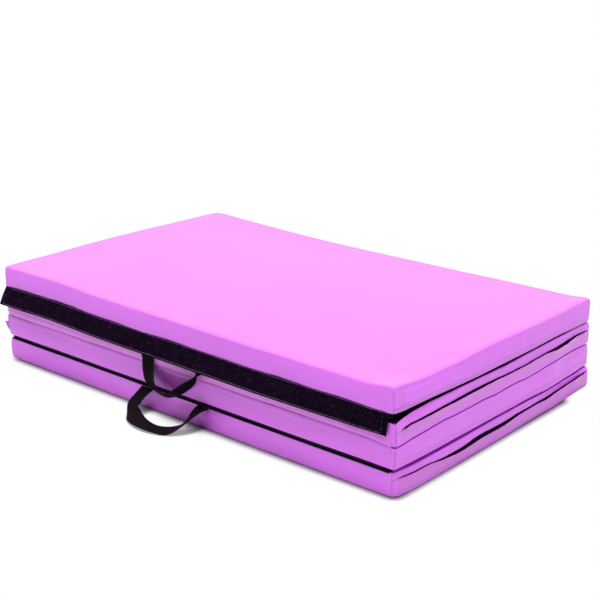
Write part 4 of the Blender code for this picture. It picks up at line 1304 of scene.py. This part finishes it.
# The studio: a seamless pale floor, a pale sky and soft light from above. Seen straight, the floor
# runs out to white; near the mat it keeps the lamps' soft shadow, and to the camera it carries a painted
# shadow at the mat's foot and round the lower handle.
FLOOR_SIZE = 60.0
FLOOR_SEEN = "#F4F4F4"
FLOOR_BOUNCE = "#DCDCDC"
FLOOR_PAINTED_SHADOW = "#544C54"
# The painted contact shadow's rounded box on the floor: its middle, half sizes and corner radius
SHADE_MIDDLE = (14.5 * MM, -56 * MM, 0)
SHADE_HALF = (HALF_X - 4.5 * MM, HALF_Y - 55 * MM)
SHADE_ROUND = 15 * MM
# How far out of the box's core it is darkest and gone, and where the camera's white starts and is full
SHADE_FADES = (SHADE_ROUND - 2 * MM, SHADE_ROUND + 27 * MM)
WHITE_GROWS = (10 * MM, 70 * MM)
# A ring of painted shadow under the handle that lies on the floor: an ellipse's middle and half axes,
# the ring's size as a share of these, how far off it the shadow starts to fade and is gone, and what it
# leaves lit
HANDLE_RING_MIDDLE = (HANDLE_CENTRE - 12 * MM, -HALF_Y - 21 * MM, 0)
HANDLE_RING_HALF = (78 * MM, 64 * MM, 1.0)
HANDLE_RING_SIZE = 1.05
HANDLE_RING_FADES = (0.2, 0.4)
HANDLE_RING_LIT = 0.3


def make_floor():
    """One large sheet under the mat, whose own glow to the camera grows to white with distance, from
    a painted shadow at the mat's foot: the distance from a rounded box, and from a ring."""
    half = FLOOR_SIZE / 2
    points = np.array([(-half, -half, 0), (half, -half, 0), (half, half, 0), (-half, half, 0)])
    floor = make_mesh("studio_floor", points, np.array([[0, 1, 2, 3]]))
    material, tree, shader = new_material("seamless_paper", Roughness=0.9)
    seen = add(tree, "LightPath").outputs["Is Camera Ray"]
    paper = add(tree, "Mix", {"Factor": seen, "A": FLOOR_BOUNCE, "B": FLOOR_SEEN}, data_type="RGBA")
    place = add(tree, "TexCoord").outputs["Object"]
    # How far past the core of the mat's rounded box a place is
    core = (SHADE_HALF[0] - SHADE_ROUND, SHADE_HALF[1] - SHADE_ROUND, 0)
    moved = add(tree, "VectorMath", {0: place, 1: SHADE_MIDDLE}, operation="SUBTRACT")
    size = add(tree, "VectorMath", {0: moved.outputs["Vector"]}, operation="ABSOLUTE")
    past = add(tree, "VectorMath", {0: size.outputs["Vector"], 1: core}, operation="SUBTRACT")
    beyond = add(tree, "VectorMath", {0: past.outputs["Vector"], 1: (0, 0, 0)}, operation="MAXIMUM")
    far = add(tree, "VectorMath", {0: beyond.outputs["Vector"]}, operation="LENGTH").outputs["Value"]
    # How far off the handle's ring it is
    across = add(tree, "VectorMath", {0: place, 1: HANDLE_RING_MIDDLE}, operation="SUBTRACT")
    squeezed = add(tree, "VectorMath", {0: across.outputs["Vector"], 1: HANDLE_RING_HALF},
                   operation="DIVIDE")
    ring = add(tree, "VectorMath", {0: squeezed.outputs["Vector"]}, operation="LENGTH")
    beside = add(tree, "Math", {0: ring.outputs["Value"], 1: HANDLE_RING_SIZE}, operation="SUBTRACT")
    off = add(tree, "Math", {0: beside.outputs["Value"]}, operation="ABSOLUTE")
    bare = add(tree, "MapRange", {"Value": off.outputs["Value"], "From Min": HANDLE_RING_FADES[0],
                                  "From Max": HANDLE_RING_FADES[1], "To Min": HANDLE_RING_LIT},
               interpolation_type="SMOOTHSTEP").outputs["Result"]
    # The share of white that the camera sees, and how clear the paper's own colour is of the painted shadow
    white_grows = add(tree, "MapRange", {"Value": far, "From Min": WHITE_GROWS[0],
                                         "From Max": WHITE_GROWS[1]}, interpolation_type="SMOOTHSTEP")
    lit = add(tree, "Math", {0: white_grows.outputs["Result"], 1: bare}, operation="MULTIPLY")
    share = add(tree, "Math", {0: lit.outputs["Value"], 1: seen}, operation="MULTIPLY")
    shade_fades = add(tree, "MapRange", {"Value": far, "From Min": SHADE_FADES[0],
                                         "From Max": SHADE_FADES[1]}, interpolation_type="SMOOTHSTEP")
    both = add(tree, "Math", {0: shade_fades.outputs["Result"], 1: bare}, operation="MULTIPLY")
    unseen = add(tree, "Math", {0: 1.0, 1: seen}, operation="SUBTRACT")
    clear = add(tree, "Math", {0: both.outputs["Value"], 1: unseen.outputs["Value"]}, operation="MAXIMUM")
    # The painted shadow, seen by the camera only
    painted_shadow = add(tree, "Mix", {"Factor": clear.outputs["Value"], "A": FLOOR_PAINTED_SHADOW,
                                "B": paper.outputs["Result"]}, data_type="RGBA")
    feed(tree, shader, Base_Color=painted_shadow.outputs["Result"])
    white = add(tree, "Emission", {"Strength": 1.0})
    blend = add(tree, "MixShader", {"Fac": share.outputs["Value"], 1: shader.outputs["BSDF"],
                                    2: white.outputs["Emission"]})
    tree.links.new(blend.outputs["Shader"], tree.nodes["Material Output"].inputs["Surface"])
    floor.data.materials.append(material)


make_floor()

# The sky shows white, and lights the mat only from high up, as a ceiling of soft boxes does
SKY_LIGHT = 1.1
SKY_FROM = 0.62
world = bpy.data.worlds.new("pale_sky")
world.use_nodes = True
bpy.context.scene.world = world
air = world.node_tree
rays = add(air, "LightPath").outputs
mirrored = add(air, "Math", {0: rays["Is Glossy Ray"], 1: rays["Is Transmission Ray"]}, operation="MAXIMUM")
shown = add(air, "Math", {0: rays["Is Camera Ray"], 1: mirrored.outputs["Value"]}, operation="MAXIMUM")
height = add(air, "SeparateXYZ", {0: add(air, "TexCoord").outputs["Generated"]}).outputs["Z"]
glow = add(air, "MapRange", {"Value": height, "From Min": SKY_FROM, "To Max": SKY_LIGHT})
strength = add(air, "MapRange", {"Value": shown.outputs["Value"], "To Min": glow.outputs["Result"],
                                 "To Max": 1.0})
air.links.new(strength.outputs["Result"], air.nodes["Background"].inputs["Strength"])
air.nodes["Background"].inputs["Color"].default_value = (1, 1, 1, 1)


def add_lamp(name, strength, spread, towards):
    """A broad sun: strength pi lights a white face square to it to white."""
    lamp = bpy.data.lights.new(name, "SUN")
    lamp.energy = strength
    lamp.angle = math.radians(spread)
    obj = bpy.data.objects.new(name, lamp)
    obj.rotation_euler = Vector(towards).to_track_quat("-Z", "Y").to_euler()
    bpy.context.scene.collection.objects.link(obj)


add_lamp("overhead_softbox", strength=4.2, spread=50, towards=(-0.02, 0.06, -1))

# The camera stands at the front right, above the mat, and is turned a little to the left about its own
# line of sight, as the photograph's was.
LENS = 84.96
CAMERA_AT = Vector((2.1700, -2.4320, 1.3229))
LOOKS_AT = Vector((-0.1415, 0.2010, 0.1000))
ROLL_LEFT = math.radians(-0.63)

camera = bpy.data.cameras.new("camera")
camera.lens = LENS
camera.sensor_width = 36
camera_object = bpy.data.objects.new("camera", camera)
camera_object.location = CAMERA_AT
aim = (LOOKS_AT - CAMERA_AT).to_track_quat("-Z", "Y").to_matrix().to_4x4()
camera_object.rotation_euler = (aim @ Matrix.Rotation(ROLL_LEFT, 4, "Z")).to_euler()
bpy.context.scene.collection.objects.link(camera_object)
bpy.context.scene.camera = camera_object
bpy.context.scene.view_settings.view_transform = "Standard"
